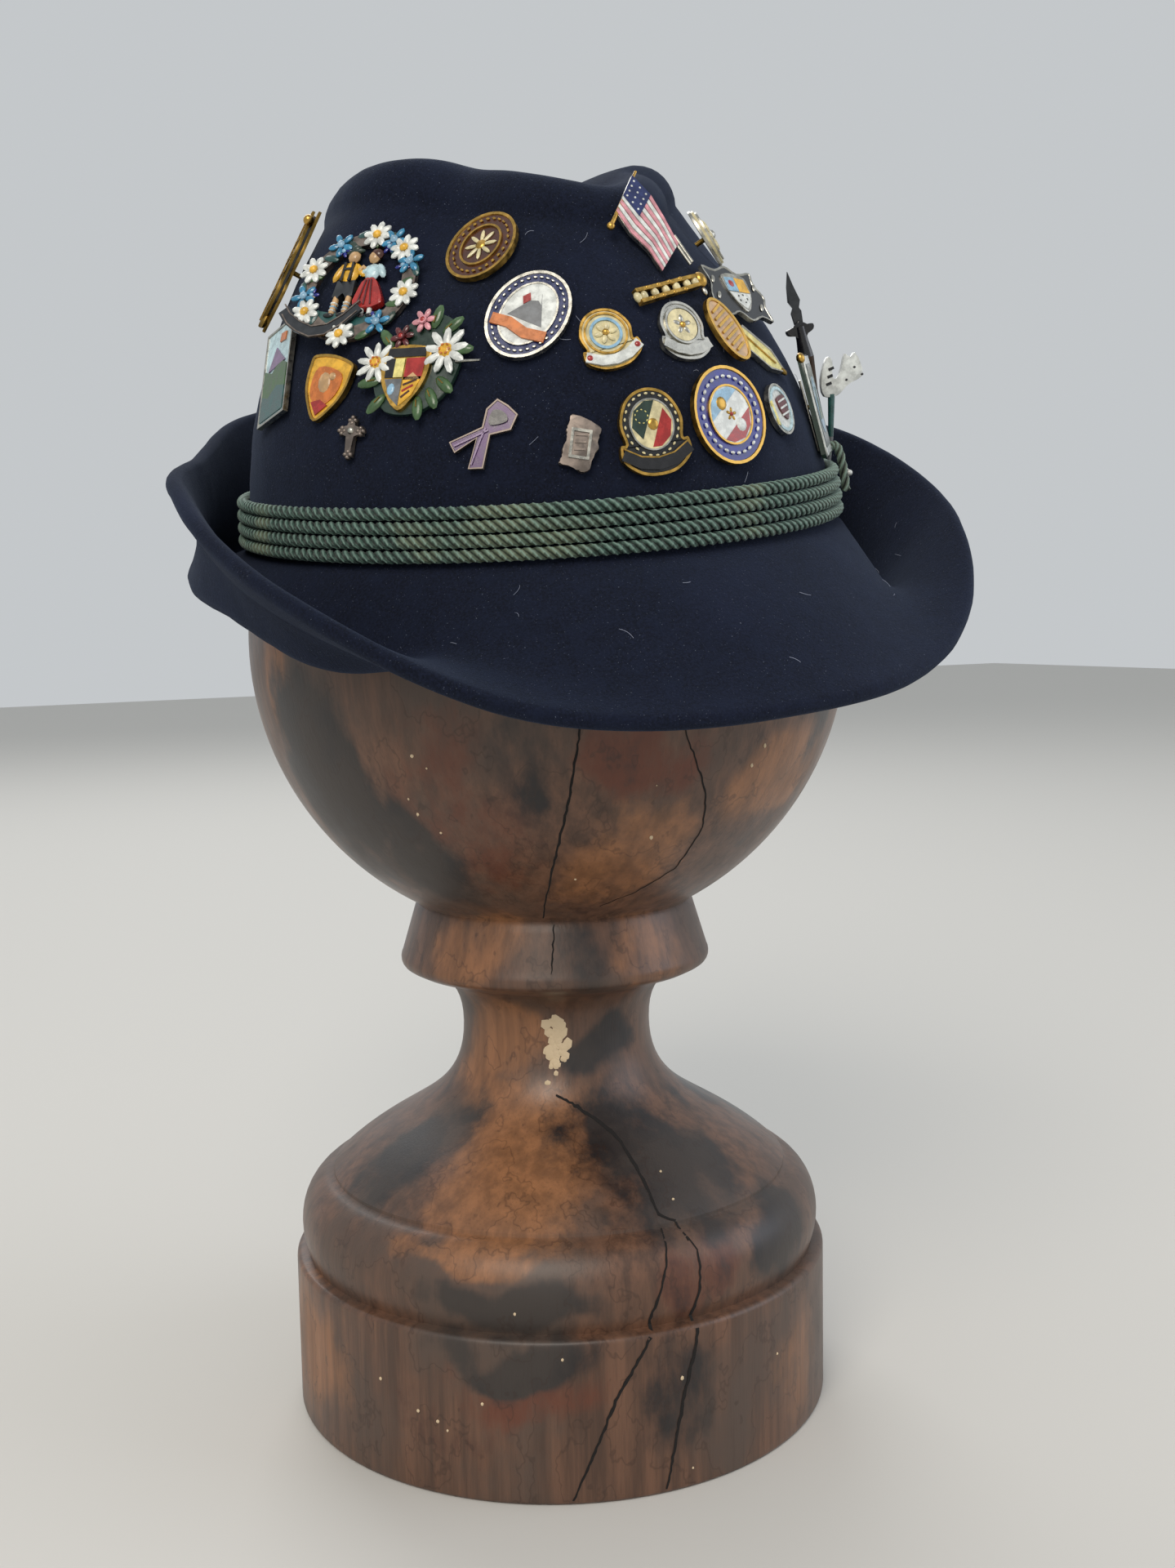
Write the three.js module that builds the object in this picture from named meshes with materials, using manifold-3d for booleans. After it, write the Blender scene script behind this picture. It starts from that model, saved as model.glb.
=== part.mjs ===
// A navy felt Tyrolean hat with a four-strand cord band and enamel pins, resting on a turned wooden stand.
// Millimetres, +Z up. The origin is the centre of the stand's foot, and the hat's front faces -Y.
import * as THREE from "three";
import { mergeVertices } from "three/addons/utils/BufferGeometryUtils.js";
import Module from "manifold-3d";

const wasm = await Module();
wasm.setup();

// Driving dimensions of the stand.
const BALL_RADIUS = 89;
const BALL_HEIGHT = 231;
const FOOT_RADIUS = 81.5;
const FOOT_HEIGHT = 46;
const BEAD_RADIUS = 79.4;
const CONE_RADIUS = 69.5;
const CONE_BASE_HEIGHT = 71;
const NECK_RADIUS = 28.6;
const NECK_HEIGHT = 114;
const COLLAR_RADIUS = 47.2;
const COLLAR_HEIGHT = 134.5;
const COLLAR_TOP_RADIUS = 41.5;
const STAND_SIDES = 32;

// Driving dimensions of the hat, in its own frame: the head opening lies in its plane Z = 0.
const OPENING_HALF_LENGTH = 85.1;
const OPENING_HALF_WIDTH = 84.7;
const CROWN_HEIGHT = 108.4;
const FELT = 2.4;
const EDGE_FELT = 4.6;
const BRIM_WIDTH = 50;
const BRIM_BOW = 0.35;
const BRIM_ROLL_BOW = 1.42;
const SHOULDER_RADIUS = 11.2;
const CREASE_DEPTH = 18.4;
const CREASE_HALF_WIDTH = 23.2;
const PINCH_DEPTH = 5;
const RIDGE_LEAN = -0.026;
const SEAT_GAP = 0.8;
const HAT_NOD_DEG = 6.3;
const HAT_LIST_DEG = -6;

const BAND_CORD = 3.6;
const BAND_PITCH = 3.55;
const BAND_FOOT_HEIGHT = 2.6;
const BAND_STRANDS = 4;
const CORD_GAP = 0.3;

// Half sections of the hat from the front (0) round to the back (180); both sides are alike.
// reach and rise place the brim's edge in shares of BRIM_WIDTH, and fall and lean are the brim's slopes in
// degrees where it leaves the opening and at its edge. taper is the share of the opening's radius that the
// wall has lost at the tip, and curl the power with which it is lost.
const SECTIONS = [
  { angle: 0, reach: 0.85, rise: -0.61, fall: -23, lean: -34, taper: 0.66, curl: 2.35 },
  { angle: 30, reach: 0.79, rise: -0.51, fall: -36, lean: -12, taper: 0.71, curl: 2.1 },
  { angle: 60, reach: 0.68, rise: 0.02, fall: -57, lean: 43, taper: 0.72, curl: 1.95 },
  { angle: 90, reach: 0.43, rise: 0.45, fall: -35, lean: 58, taper: 0.59, curl: 2.25 },
  { angle: 120, reach: 0.24, rise: 0.53, fall: -19, lean: 80, taper: 0.5, curl: 2.15 },
  { angle: 150, reach: 0.44, rise: 0.71, fall: -15, lean: 76, taper: 0.31, curl: 2.0 },
  { angle: 180, reach: 0.64, rise: 0.77, fall: -10, lean: 76, taper: 0.17, curl: 2.0 },
];
const SECTION_STEP = SECTIONS[1].angle - SECTIONS[0].angle;

const rad = THREE.MathUtils.degToRad;
const clamp = THREE.MathUtils.clamp;

// A column of SECTIONS at any angle, by a smooth curve through its rows.
function section(column, theta) {
  const turn = Math.abs(THREE.MathUtils.euclideanModulo(THREE.MathUtils.radToDeg(theta) + 180, 360) - 180);
  const place = turn / SECTION_STEP;
  const i = Math.min(Math.floor(place), SECTIONS.length - 2);
  const t = place - i;
  const last = SECTIONS.length - 1;
  const row = (k) => SECTIONS[k < 0 ? -k : k > last ? 2 * last - k : k][column];
  const [a, b, c, d] = [row(i - 1), row(i), row(i + 1), row(i + 2)];
  return b + 0.5 * t * (c - a + t * (2 * a - 5 * b + 4 * c - d + t * (3 * (b - c) + d - a)));
}

// A point of the hat from its angle round the crown, its radius and its height.
const roundPoint = (theta, r, z) => new THREE.Vector3(r * Math.sin(theta), -r * Math.cos(theta), z);

const openingRadius = (theta) =>
  1 / Math.hypot(Math.cos(theta) / OPENING_HALF_LENGTH, Math.sin(theta) / OPENING_HALF_WIDTH);

// The crown's wall: its radius at an angle and a height, with the two dents of the front pinch.
const PINCH_ANGLE = 55;
const PINCH_SPREAD = 22;
const PINCH_PLACE = 0.76;
const PINCH_TALL = 0.14;
function wallRadius(theta, z) {
  const share = clamp(z / CROWN_HEIGHT, 0, 1);
  const plain = openingRadius(theta) * (1 - section("taper", theta) * share ** section("curl", theta));
  const turn = Math.abs(THREE.MathUtils.euclideanModulo(THREE.MathUtils.radToDeg(theta) + 180, 360) - 180);
  const round = Math.exp(-(((turn - PINCH_ANGLE) / PINCH_SPREAD) ** 2));
  const along = Math.exp(-(((share - PINCH_PLACE) / PINCH_TALL) ** 2));
  return plain - PINCH_DEPTH * round * along;
}

// The crown's tip over a plan point: a low dome with the centre crease, which runs out at the front.
const DOME_DROP = 0.165;
const CREASE_BACK = [0.25, 0.63];
const CREASE_FRONT = [0.2, 0.6];
const CREASE_FRONT_SHARE = 0.5;
const CREASE_WIDENING = 0.35;
function tipHeight(x, y) {
  const back = y / OPENING_HALF_LENGTH;
  const dome = CROWN_HEIGHT * (1 - DOME_DROP * (x * x + y * y) / OPENING_HALF_WIDTH ** 2);
  const ends = back > 0
    ? 1 - THREE.MathUtils.smoothstep(back, ...CREASE_BACK)
    : 1 - (1 - CREASE_FRONT_SHARE) * THREE.MathUtils.smoothstep(-back, ...CREASE_FRONT);
  const width = CREASE_HALF_WIDTH * (1 + CREASE_WIDENING * clamp(back, -1, 1));
  return dome + RIDGE_LEAN * x - CREASE_DEPTH * ends * Math.exp(-((x / width) ** 2));
}

// One half section of the felt's outer skin, from the brim's edge to the middle of the tip.
const BRIM_ROWS = 8;
const WALL_ROWS = 8;
const SHOULDER_ROWS = 3;
const TIP_ROWS = 4;
const FLARE = 3.2;
const FLARE_HEIGHT = 4.5;
const FLARE_KNEE = [0.3, 0.35];
function feltSection(theta) {
  const open = openingRadius(theta);
  const points = [];
  const lean = rad(section("lean", theta));
  const edge = [open + section("reach", theta) * BRIM_WIDTH, section("rise", theta) * BRIM_WIDTH];
  const start = [open + FLARE, 0];
  const span = Math.hypot(edge[0] - start[0], edge[1] - start[1]);
  const fall = rad(section("fall", theta));
  const bow = span * (BRIM_BOW + BRIM_ROLL_BOW * Math.sin((lean - fall) / 2) ** 2);
  const p1 = [start[0] + Math.cos(fall) * bow, start[1] + Math.sin(fall) * bow];
  const p2 = [edge[0] - Math.cos(lean) * bow, edge[1] - Math.sin(lean) * bow];
  const curve = new THREE.CubicBezierCurve(
    new THREE.Vector2(...edge), new THREE.Vector2(...p2),
    new THREE.Vector2(...p1), new THREE.Vector2(...start));
  for (let i = 0; i < BRIM_ROWS; i++) {
    const p = curve.getPoint(i / BRIM_ROWS);
    points.push([p.x, p.y]);
  }
  points.push([open + FLARE, 0], [open + FLARE * FLARE_KNEE[0], FLARE_HEIGHT * FLARE_KNEE[1]]);
  // The wall stops where the rounded shoulder begins.
  const sin = Math.sin(theta);
  const cos = -Math.cos(theta);
  let rim = wallRadius(theta, CROWN_HEIGHT - SHOULDER_RADIUS);
  let top = 0;
  for (let pass = 0; pass < 4; pass++) {
    const inset = rim - SHOULDER_RADIUS;
    top = tipHeight(inset * sin, inset * cos);
    rim = wallRadius(theta, top - SHOULDER_RADIUS);
  }
  const wallTop = top - SHOULDER_RADIUS;
  for (let i = 0; i <= WALL_ROWS; i++) {
    const z = FLARE_HEIGHT + (wallTop - FLARE_HEIGHT) * i / WALL_ROWS;
    points.push([wallRadius(theta, z), z]);
  }
  for (let i = 1; i <= SHOULDER_ROWS; i++) {
    const a = Math.PI / 2 * i / SHOULDER_ROWS;
    points.push([rim - SHOULDER_RADIUS * (1 - Math.cos(a)), wallTop + SHOULDER_RADIUS * Math.sin(a)]);
  }
  const inset = rim - SHOULDER_RADIUS;
  for (let i = 1; i < TIP_ROWS; i++) {
    const r = inset * (1 - i / TIP_ROWS);
    points.push([r, tipHeight(r * sin, r * cos)]);
  }
  return points;
}

// The felt body: the outer skin, an inner skin set in by the felt's thickness, and the brim's rounded edge.
const FELT_COLUMNS = 48;
const quad = (faces, a, b, c, d) => faces.push(a, b, c, a, c, d);
function feltGeometry() {
  const grid = [];
  for (let c = 0; c < FELT_COLUMNS; c++) {
    const theta = 2 * Math.PI * c / FELT_COLUMNS;
    grid.push(feltSection(theta).map(([r, z]) => roundPoint(theta, r, z)));
  }
  const rows = grid[0].length;
  const tip = new THREE.Vector3(0, 0, tipHeight(0, 0));
  const inner = grid.map((column, c) => column.map((p, r) => {
    const left = grid[(c + FELT_COLUMNS - 1) % FELT_COLUMNS][r];
    const right = grid[(c + 1) % FELT_COLUMNS][r];
    const below = column[Math.max(r - 1, 0)];
    const above = r + 1 < rows ? column[r + 1] : tip;
    const normal = right.clone().sub(left).cross(above.clone().sub(below)).normalize();
    const edge = clamp(1 - r / 2, 0, 1);
    return p.clone().addScaledVector(normal, -(FELT + (EDGE_FELT - FELT) * edge));
  }));
  const vertices = [];
  const put = (p) => vertices.push(p.x, p.y, p.z) / 3 - 1;
  const outerIds = grid.map((column) => column.map(put));
  const innerIds = inner.map((column) => column.map(put));
  const outerTip = put(tip);
  const innerTip = put(tip.clone().setZ(tip.z - FELT));
  const faces = [];
  for (let c = 0; c < FELT_COLUMNS; c++) {
    const n = (c + 1) % FELT_COLUMNS;
    for (let r = 0; r + 1 < rows; r++) {
      quad(faces, outerIds[c][r], outerIds[n][r], outerIds[n][r + 1], outerIds[c][r + 1]);
      quad(faces, innerIds[c][r], innerIds[c][r + 1], innerIds[n][r + 1], innerIds[n][r]);
    }
    faces.push(outerIds[c][rows - 1], outerIds[n][rows - 1], outerTip);
    faces.push(innerIds[c][rows - 1], innerTip, innerIds[n][rows - 1]);
    quad(faces, outerIds[c][0], innerIds[c][0], innerIds[n][0], outerIds[n][0]);
  }
  const geometry = new THREE.BufferGeometry();
  geometry.setAttribute("position", new THREE.Float32BufferAttribute(vertices, 3));
  geometry.setIndex(faces);
  return geometry;
}

const root = new THREE.Group();
const felt = new THREE.MeshStandardMaterial({ color: 0x141b2e, roughness: 0.95, metalness: 0 });
const wood = new THREE.MeshStandardMaterial({ color: 0x6b4630, roughness: 0.6, metalness: 0 });
const cord = new THREE.MeshStandardMaterial({ color: 0x4f6b5a, roughness: 0.8, metalness: 0 });

function add(parent, name, geometry, material) {
  const mesh = new THREE.Mesh(geometry, material);
  mesh.name = name;
  parent.add(mesh);
  return mesh;
}

// The stand: one turned piece, from the foot up through bead, cone, neck and collar to the ball. The bead's
// rows give how far up it a point lies and how far the bead has drawn in there.
const EDGE = 1;
const BEAD_SEAM = 2;
const BEAD_RISE = 5;
const BEAD_ROWS = [
  { up: 0, inset: 0 },
  { up: 0.25, inset: 0.6 },
  { up: 0.5, inset: 2 },
  { up: 0.78, inset: 4.6 },
];
const CONE_STEP = 0.5;
const CONE_SWEEP = 0.42;
const CONE_HOLLOW = 0.72;
const CONE_STEPS = 7;
const COLLAR_UNDERCUT = 5.5;
const COLLAR_FILLET = 6;
const BALL_STEPS = 10;
function standGeometry() {
  const p = [];
  const go = (r, z) => p.push(new THREE.Vector2(r, z));
  go(0, 0);
  go(FOOT_RADIUS - EDGE, 0);
  go(FOOT_RADIUS, EDGE);
  go(FOOT_RADIUS, FOOT_HEIGHT - 2 * EDGE);
  go(FOOT_RADIUS - EDGE, FOOT_HEIGHT);
  go(BEAD_RADIUS - 2 * EDGE, FOOT_HEIGHT + EDGE);
  const beadTop = CONE_BASE_HEIGHT - BEAD_SEAM;
  const beadMiddle = FOOT_HEIGHT + BEAD_RISE;
  for (const row of BEAD_ROWS) go(BEAD_RADIUS - row.inset, beadMiddle + (beadTop - beadMiddle) * row.up);
  go(CONE_RADIUS + BEAD_SEAM, beadTop);
  go(CONE_RADIUS - CONE_STEP, beadTop + CONE_STEP / 2);
  go(CONE_RADIUS, CONE_BASE_HEIGHT);
  // The cone sweeps into the neck as a hollow curve.
  const sweepHeight = CONE_BASE_HEIGHT + (NECK_HEIGHT - CONE_BASE_HEIGHT) * CONE_SWEEP;
  const sweep = new THREE.CubicBezierCurve(
    new THREE.Vector2(CONE_RADIUS, CONE_BASE_HEIGHT),
    new THREE.Vector2(CONE_RADIUS * CONE_HOLLOW, sweepHeight),
    new THREE.Vector2(NECK_RADIUS, sweepHeight),
    new THREE.Vector2(NECK_RADIUS, NECK_HEIGHT));
  for (let i = 1; i <= CONE_STEPS; i++) p.push(sweep.getPoint(i / CONE_STEPS));
  const underCollar = COLLAR_HEIGHT - COLLAR_UNDERCUT;
  go(NECK_RADIUS + COLLAR_FILLET / 4, (NECK_HEIGHT + underCollar) / 2);
  go(NECK_RADIUS + COLLAR_FILLET, underCollar - EDGE);
  go(COLLAR_RADIUS - 2 * EDGE, COLLAR_HEIGHT - 2.5 * EDGE);
  go(COLLAR_RADIUS, COLLAR_HEIGHT);
  go(COLLAR_RADIUS, COLLAR_HEIGHT + 2 * EDGE);
  const first = Math.asin(COLLAR_TOP_RADIUS / BALL_RADIUS);
  for (let i = 0; i <= BALL_STEPS; i++) {
    const a = first + (Math.PI - first) * i / BALL_STEPS;
    go(i === BALL_STEPS ? 0 : BALL_RADIUS * Math.sin(a), BALL_HEIGHT - BALL_RADIUS * Math.cos(a));
  }
  const geometry = new THREE.LatheGeometry(p, STAND_SIDES);
  geometry.rotateX(Math.PI / 2);
  return geometry;
}
add(root, "wood_stand", standGeometry(), wood);

// The hat rests where the felt above the brim's flare meets the ball.
const openingInner = OPENING_HALF_WIDTH - FELT - SEAT_GAP;
const seatHeight = Math.sqrt(BALL_RADIUS ** 2 - openingInner ** 2) - FLARE_HEIGHT;
const hat = new THREE.Group();
hat.position.set(0, 0, BALL_HEIGHT);
hat.rotation.set(rad(HAT_NOD_DEG), rad(HAT_LIST_DEG), 0);
const head = new THREE.Group();
head.position.z = seatHeight;
hat.add(head);
root.add(hat);

// A closed mesh as a manifold solid, and back as a plain geometry.
function toSolid(geometry) {
  const bare = new THREE.BufferGeometry();
  bare.setAttribute("position", geometry.attributes.position);
  if (geometry.index) bare.setIndex(geometry.index);
  const merged = mergeVertices(bare, 1e-5);
  const vertProperties = new Float32Array(merged.attributes.position.array);
  const triVerts = new Uint32Array(merged.index.array);
  return new wasm.Manifold(new wasm.Mesh({ numProp: 3, vertProperties, triVerts }));
}
function fromSolid(solid) {
  const { vertProperties, triVerts } = solid.getMesh();
  const geometry = new THREE.BufferGeometry();
  geometry.setAttribute("position", new THREE.BufferAttribute(new Float32Array(vertProperties), 3));
  geometry.setIndex(new THREE.BufferAttribute(new Uint32Array(triVerts), 1));
  return geometry;
}

// The band: separate strands of twisted cord, each a closed ring round the foot of the crown.
const CORD_SIDES = 6;
const strandHeight = (index) => BAND_FOOT_HEIGHT + BAND_CORD / 2 + BAND_PITCH * index;
function strandGeometry(index) {
  const z = strandHeight(index);
  const vertices = [];
  const faces = [];
  for (let i = 0; i < FELT_COLUMNS; i++) {
    const theta = 2 * Math.PI * i / FELT_COLUMNS;
    const r = cordRadius(theta, z);
    for (let k = 0; k < CORD_SIDES; k++) {
      const a = 2 * Math.PI * k / CORD_SIDES;
      const rr = r + BAND_CORD / 2 * Math.cos(a);
      vertices.push(rr * Math.sin(theta), -rr * Math.cos(theta), z + BAND_CORD / 2 * Math.sin(a));
      const j = (i + 1) % FELT_COLUMNS;
      const m = (k + 1) % CORD_SIDES;
      quad(faces, i * CORD_SIDES + k, j * CORD_SIDES + k, j * CORD_SIDES + m, i * CORD_SIDES + m);
    }
  }
  const geometry = new THREE.BufferGeometry();
  geometry.setAttribute("position", new THREE.Float32BufferAttribute(vertices, 3));
  geometry.setIndex(faces);
  return geometry;
}
// The felt swells a little into the brim below FLARE_HEIGHT, and the cord follows the swell.
function cordRadius(theta, z) {
  const swell = FLARE * clamp(1 - z / FLARE_HEIGHT, 0, 1);
  return wallRadius(theta, z) + swell + CORD_GAP + BAND_CORD / 2;
}
for (let i = 0; i < BAND_STRANDS; i++) add(head, `band_cord_${i + 1}`, strandGeometry(i), cord);

// The wrap: the cord's own end, a short loop that rises out of the crown and is laid down over the strands.
// Its path gives how far out it lies, in cords from the strands' middle, and how far up, in mm, from the
// place where it leaves the felt.
const WRAP_ANGLE_DEG = 60;
const WRAP_CORD = 2.8;
const WRAP_STEPS = 12;
const WRAP_SIDES = 8;
const WRAP_RISE = [
  { out: -CORD_GAP / BAND_CORD, up: 0 },
  { out: 0.45, up: 2.2 },
  { out: 0.95, up: 1.4 },
];
const WRAP_END_STRAND = 1;
function wrapGeometry() {
  const theta = rad(WRAP_ANGLE_DEG);
  const top = strandHeight(BAND_STRANDS - 1);
  const over = top + (BAND_CORD + WRAP_CORD) / 2 + 2 * CORD_GAP;
  const outside = (BAND_CORD + WRAP_CORD) / 2 + 2 * CORD_GAP;
  const point = (out, z) => {
    return roundPoint(theta, cordRadius(theta, z) + out, z);
  };
  const path = new THREE.CatmullRomCurve3([
    ...WRAP_RISE.map((row) => point(row.out * BAND_CORD, over + row.up)),
    point(outside, top),
    point(outside, strandHeight(WRAP_END_STRAND)),
  ]);
  const section = new THREE.Shape().absarc(0, 0, WRAP_CORD / 2, 0, 2 * Math.PI);
  const curveSegments = WRAP_SIDES / 2;
  return new THREE.ExtrudeGeometry(section, { steps: WRAP_STEPS, curveSegments, extrudePath: path });
}
add(head, "band_wrap", wrapGeometry(), cord);

// Outlines of the pins, drawn from their width w and height h about their own centre.
function ellipse(w, h, sides = 14) {
  const ring = [];
  for (let i = 0; i < sides; i++) {
    const a = 2 * Math.PI * (i + 0.5) / sides;
    ring.push(new THREE.Vector2(w / 2 * Math.cos(a), h / 2 * Math.sin(a)));
  }
  return ring;
}
const scaled = (w, h, rows) => rows.map(([x, y]) => new THREE.Vector2(x * w, y * h));
const mirrored = (w, h, rows) => [
  ...scaled(w, h, rows),
  ...scaled(-w, h, rows.slice().reverse().filter(([x]) => x !== 0)),
];
function lobed(w, h, lobes, depth) {
  const ring = [];
  for (let i = 0; i < lobes * 2; i++) {
    const a = Math.PI * (i + 0.5) / lobes;
    const share = i % 2 ? 1 - depth : 1;
    ring.push(new THREE.Vector2(w / 2 * share * Math.cos(a), h / 2 * share * Math.sin(a)));
  }
  return ring;
}
const OUTLINES = {
  round: (w, h) => new THREE.Shape(ellipse(w, h)),
  square: (w, h) => new THREE.Shape(scaled(w, h, [[-0.5, -0.5], [0.5, -0.5], [0.5, 0.5], [-0.5, 0.5]])),
  // A disc that carries a scroll across its foot.
  scrolled: (w, h) => new THREE.Shape(mirrored(w, h, [
    [0, -0.5], [0.27, -0.46], [0.5, -0.3], [0.5, -0.12], [0.42, -0.1],
    [0.46, 0.12], [0.36, 0.34], [0.2, 0.46], [0, 0.5],
  ])),
  shield: (w, h) => new THREE.Shape(mirrored(w, h, [
    [0, -0.5], [0.3, -0.26], [0.46, 0], [0.5, 0.3], [0.44, 0.44], [0, 0.5],
  ])),
  // A plate whose edge waves, as if torn: an upright one with a slanting top, and a wide one.
  wavy: (w, h) => new THREE.Shape(scaled(w, h, [
    [-0.5, -0.4], [-0.1, -0.42], [0.12, -0.5], [0.34, -0.42], [0.36, -0.2],
    [0.5, -0.04], [0.42, 0.12], [0.5, 0.24], [0.42, 0.36], [-0.3, 0.5],
    [-0.34, 0.3], [-0.42, 0.2], [-0.34, 0.08], [-0.46, -0.14], [-0.4, -0.28],
  ])),
  charcoal: (w, h) => new THREE.Shape(scaled(w, h, [
    [-0.5, -0.3], [-0.3, -0.44], [-0.12, -0.36], [0.06, -0.5], [0.28, -0.4], [0.46, -0.46],
    [0.44, -0.2], [0.5, 0], [0.4, 0.22], [0.42, 0.44], [0.16, 0.38], [-0.02, 0.5],
    [-0.24, 0.4], [-0.46, 0.44], [-0.42, 0.16], [-0.5, -0.06],
  ])),
  // A coffin-shaped plate that runs to a point at its right end.
  pointed: (w, h) => new THREE.Shape(scaled(w, h, [
    [-0.5, -0.1], [-0.4, -0.5], [0.16, -0.44], [0.5, 0.04], [0.2, 0.5], [-0.4, 0.4],
  ])),
  cross: (w, h) => new THREE.Shape(mirrored(w, h, [
    [0.14, -0.5], [0.14, 0.06], [0.5, 0.06], [0.5, 0.28], [0.14, 0.28], [0.14, 0.5],
  ])),
  // A folded ribbon: two legs and a heart-shaped loop that leans to the right.
  ribbon: (w, h) => {
    const shape = new THREE.Shape(scaled(w, h, [
      [-0.5, -0.1], [-0.42, -0.26], [-0.1, -0.06], [-0.22, -0.5], [0, -0.5], [0.1, -0.02], [0.4, 0.04],
      [0.5, 0.26], [0.36, 0.4], [0.2, 0.5], [0.04, 0.36], [-0.02, 0.1],
    ]));
    const loop = [[0.1, 0.12], [0.34, 0.16], [0.32, 0.28], [0.18, 0.34], [0.1, 0.26]];
    shape.holes.push(new THREE.Path(scaled(w, h, loop)));
    return shape;
  },
  // A flag that waves down to the right from the staff at its upper left, with a stick under its fly.
  flag: (w, h) => new THREE.Shape(scaled(w, h, [
    [-0.29, 0.152], [-0.2, -0.07], [-0.03, -0.25], [0.05, -0.466], [0.44, -0.215],
    [0.48, -0.43], [0.555, -0.41], [0.5, -0.15], [0.38, 0.06], [0.31, 0.29], [0.145, 0.497],
  ])),
  leaf: (w, h) => new THREE.Shape(mirrored(w, h, [
    [0, -0.5], [0.2, -0.4], [0.5, -0.2], [0.36, -0.04], [0.46, 0.16], [0.22, 0.34], [0, 0.5],
  ])),
  // A wreath of flowers with a figured middle, open between the two.
  wreath: (w, h) => {
    const shape = new THREE.Shape(lobed(w, h, 10, 0.09));
    const left = [[-0.3, -0.12], [-0.12, -0.06], [-0.1, 0.2], [-0.24, 0.2]];
    const right = [[0.3, 0.14], [0.16, 0.18], [0.1, -0.08], [0.24, -0.16]];
    for (const hole of [left, right]) shape.holes.push(new THREE.Path(scaled(w, h, hole)));
    return shape;
  },
  blossoms: (w, h) => new THREE.Shape(lobed(w, h, 8, 0.16)),
  // A cast bar, pierced along its middle, with a knob at its right end.
  bar: (w, h) => {
    const shape = new THREE.Shape(scaled(w, h, [
      [-0.5, -0.5], [0.36, -0.36], [0.42, -0.6], [0.5, -0.3],
      [0.5, 0.4], [0.42, 0.6], [0.36, 0.3], [-0.46, 0.4],
    ]));
    for (const x of [-0.32, -0.16, 0, 0.16]) {
      const gap = [[x, -0.16], [x + 0.07, 0.02], [x, 0.2], [x - 0.07, 0.02]];
      shape.holes.push(new THREE.Path(scaled(w, h, gap)));
    }
    return shape;
  },
};

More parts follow.
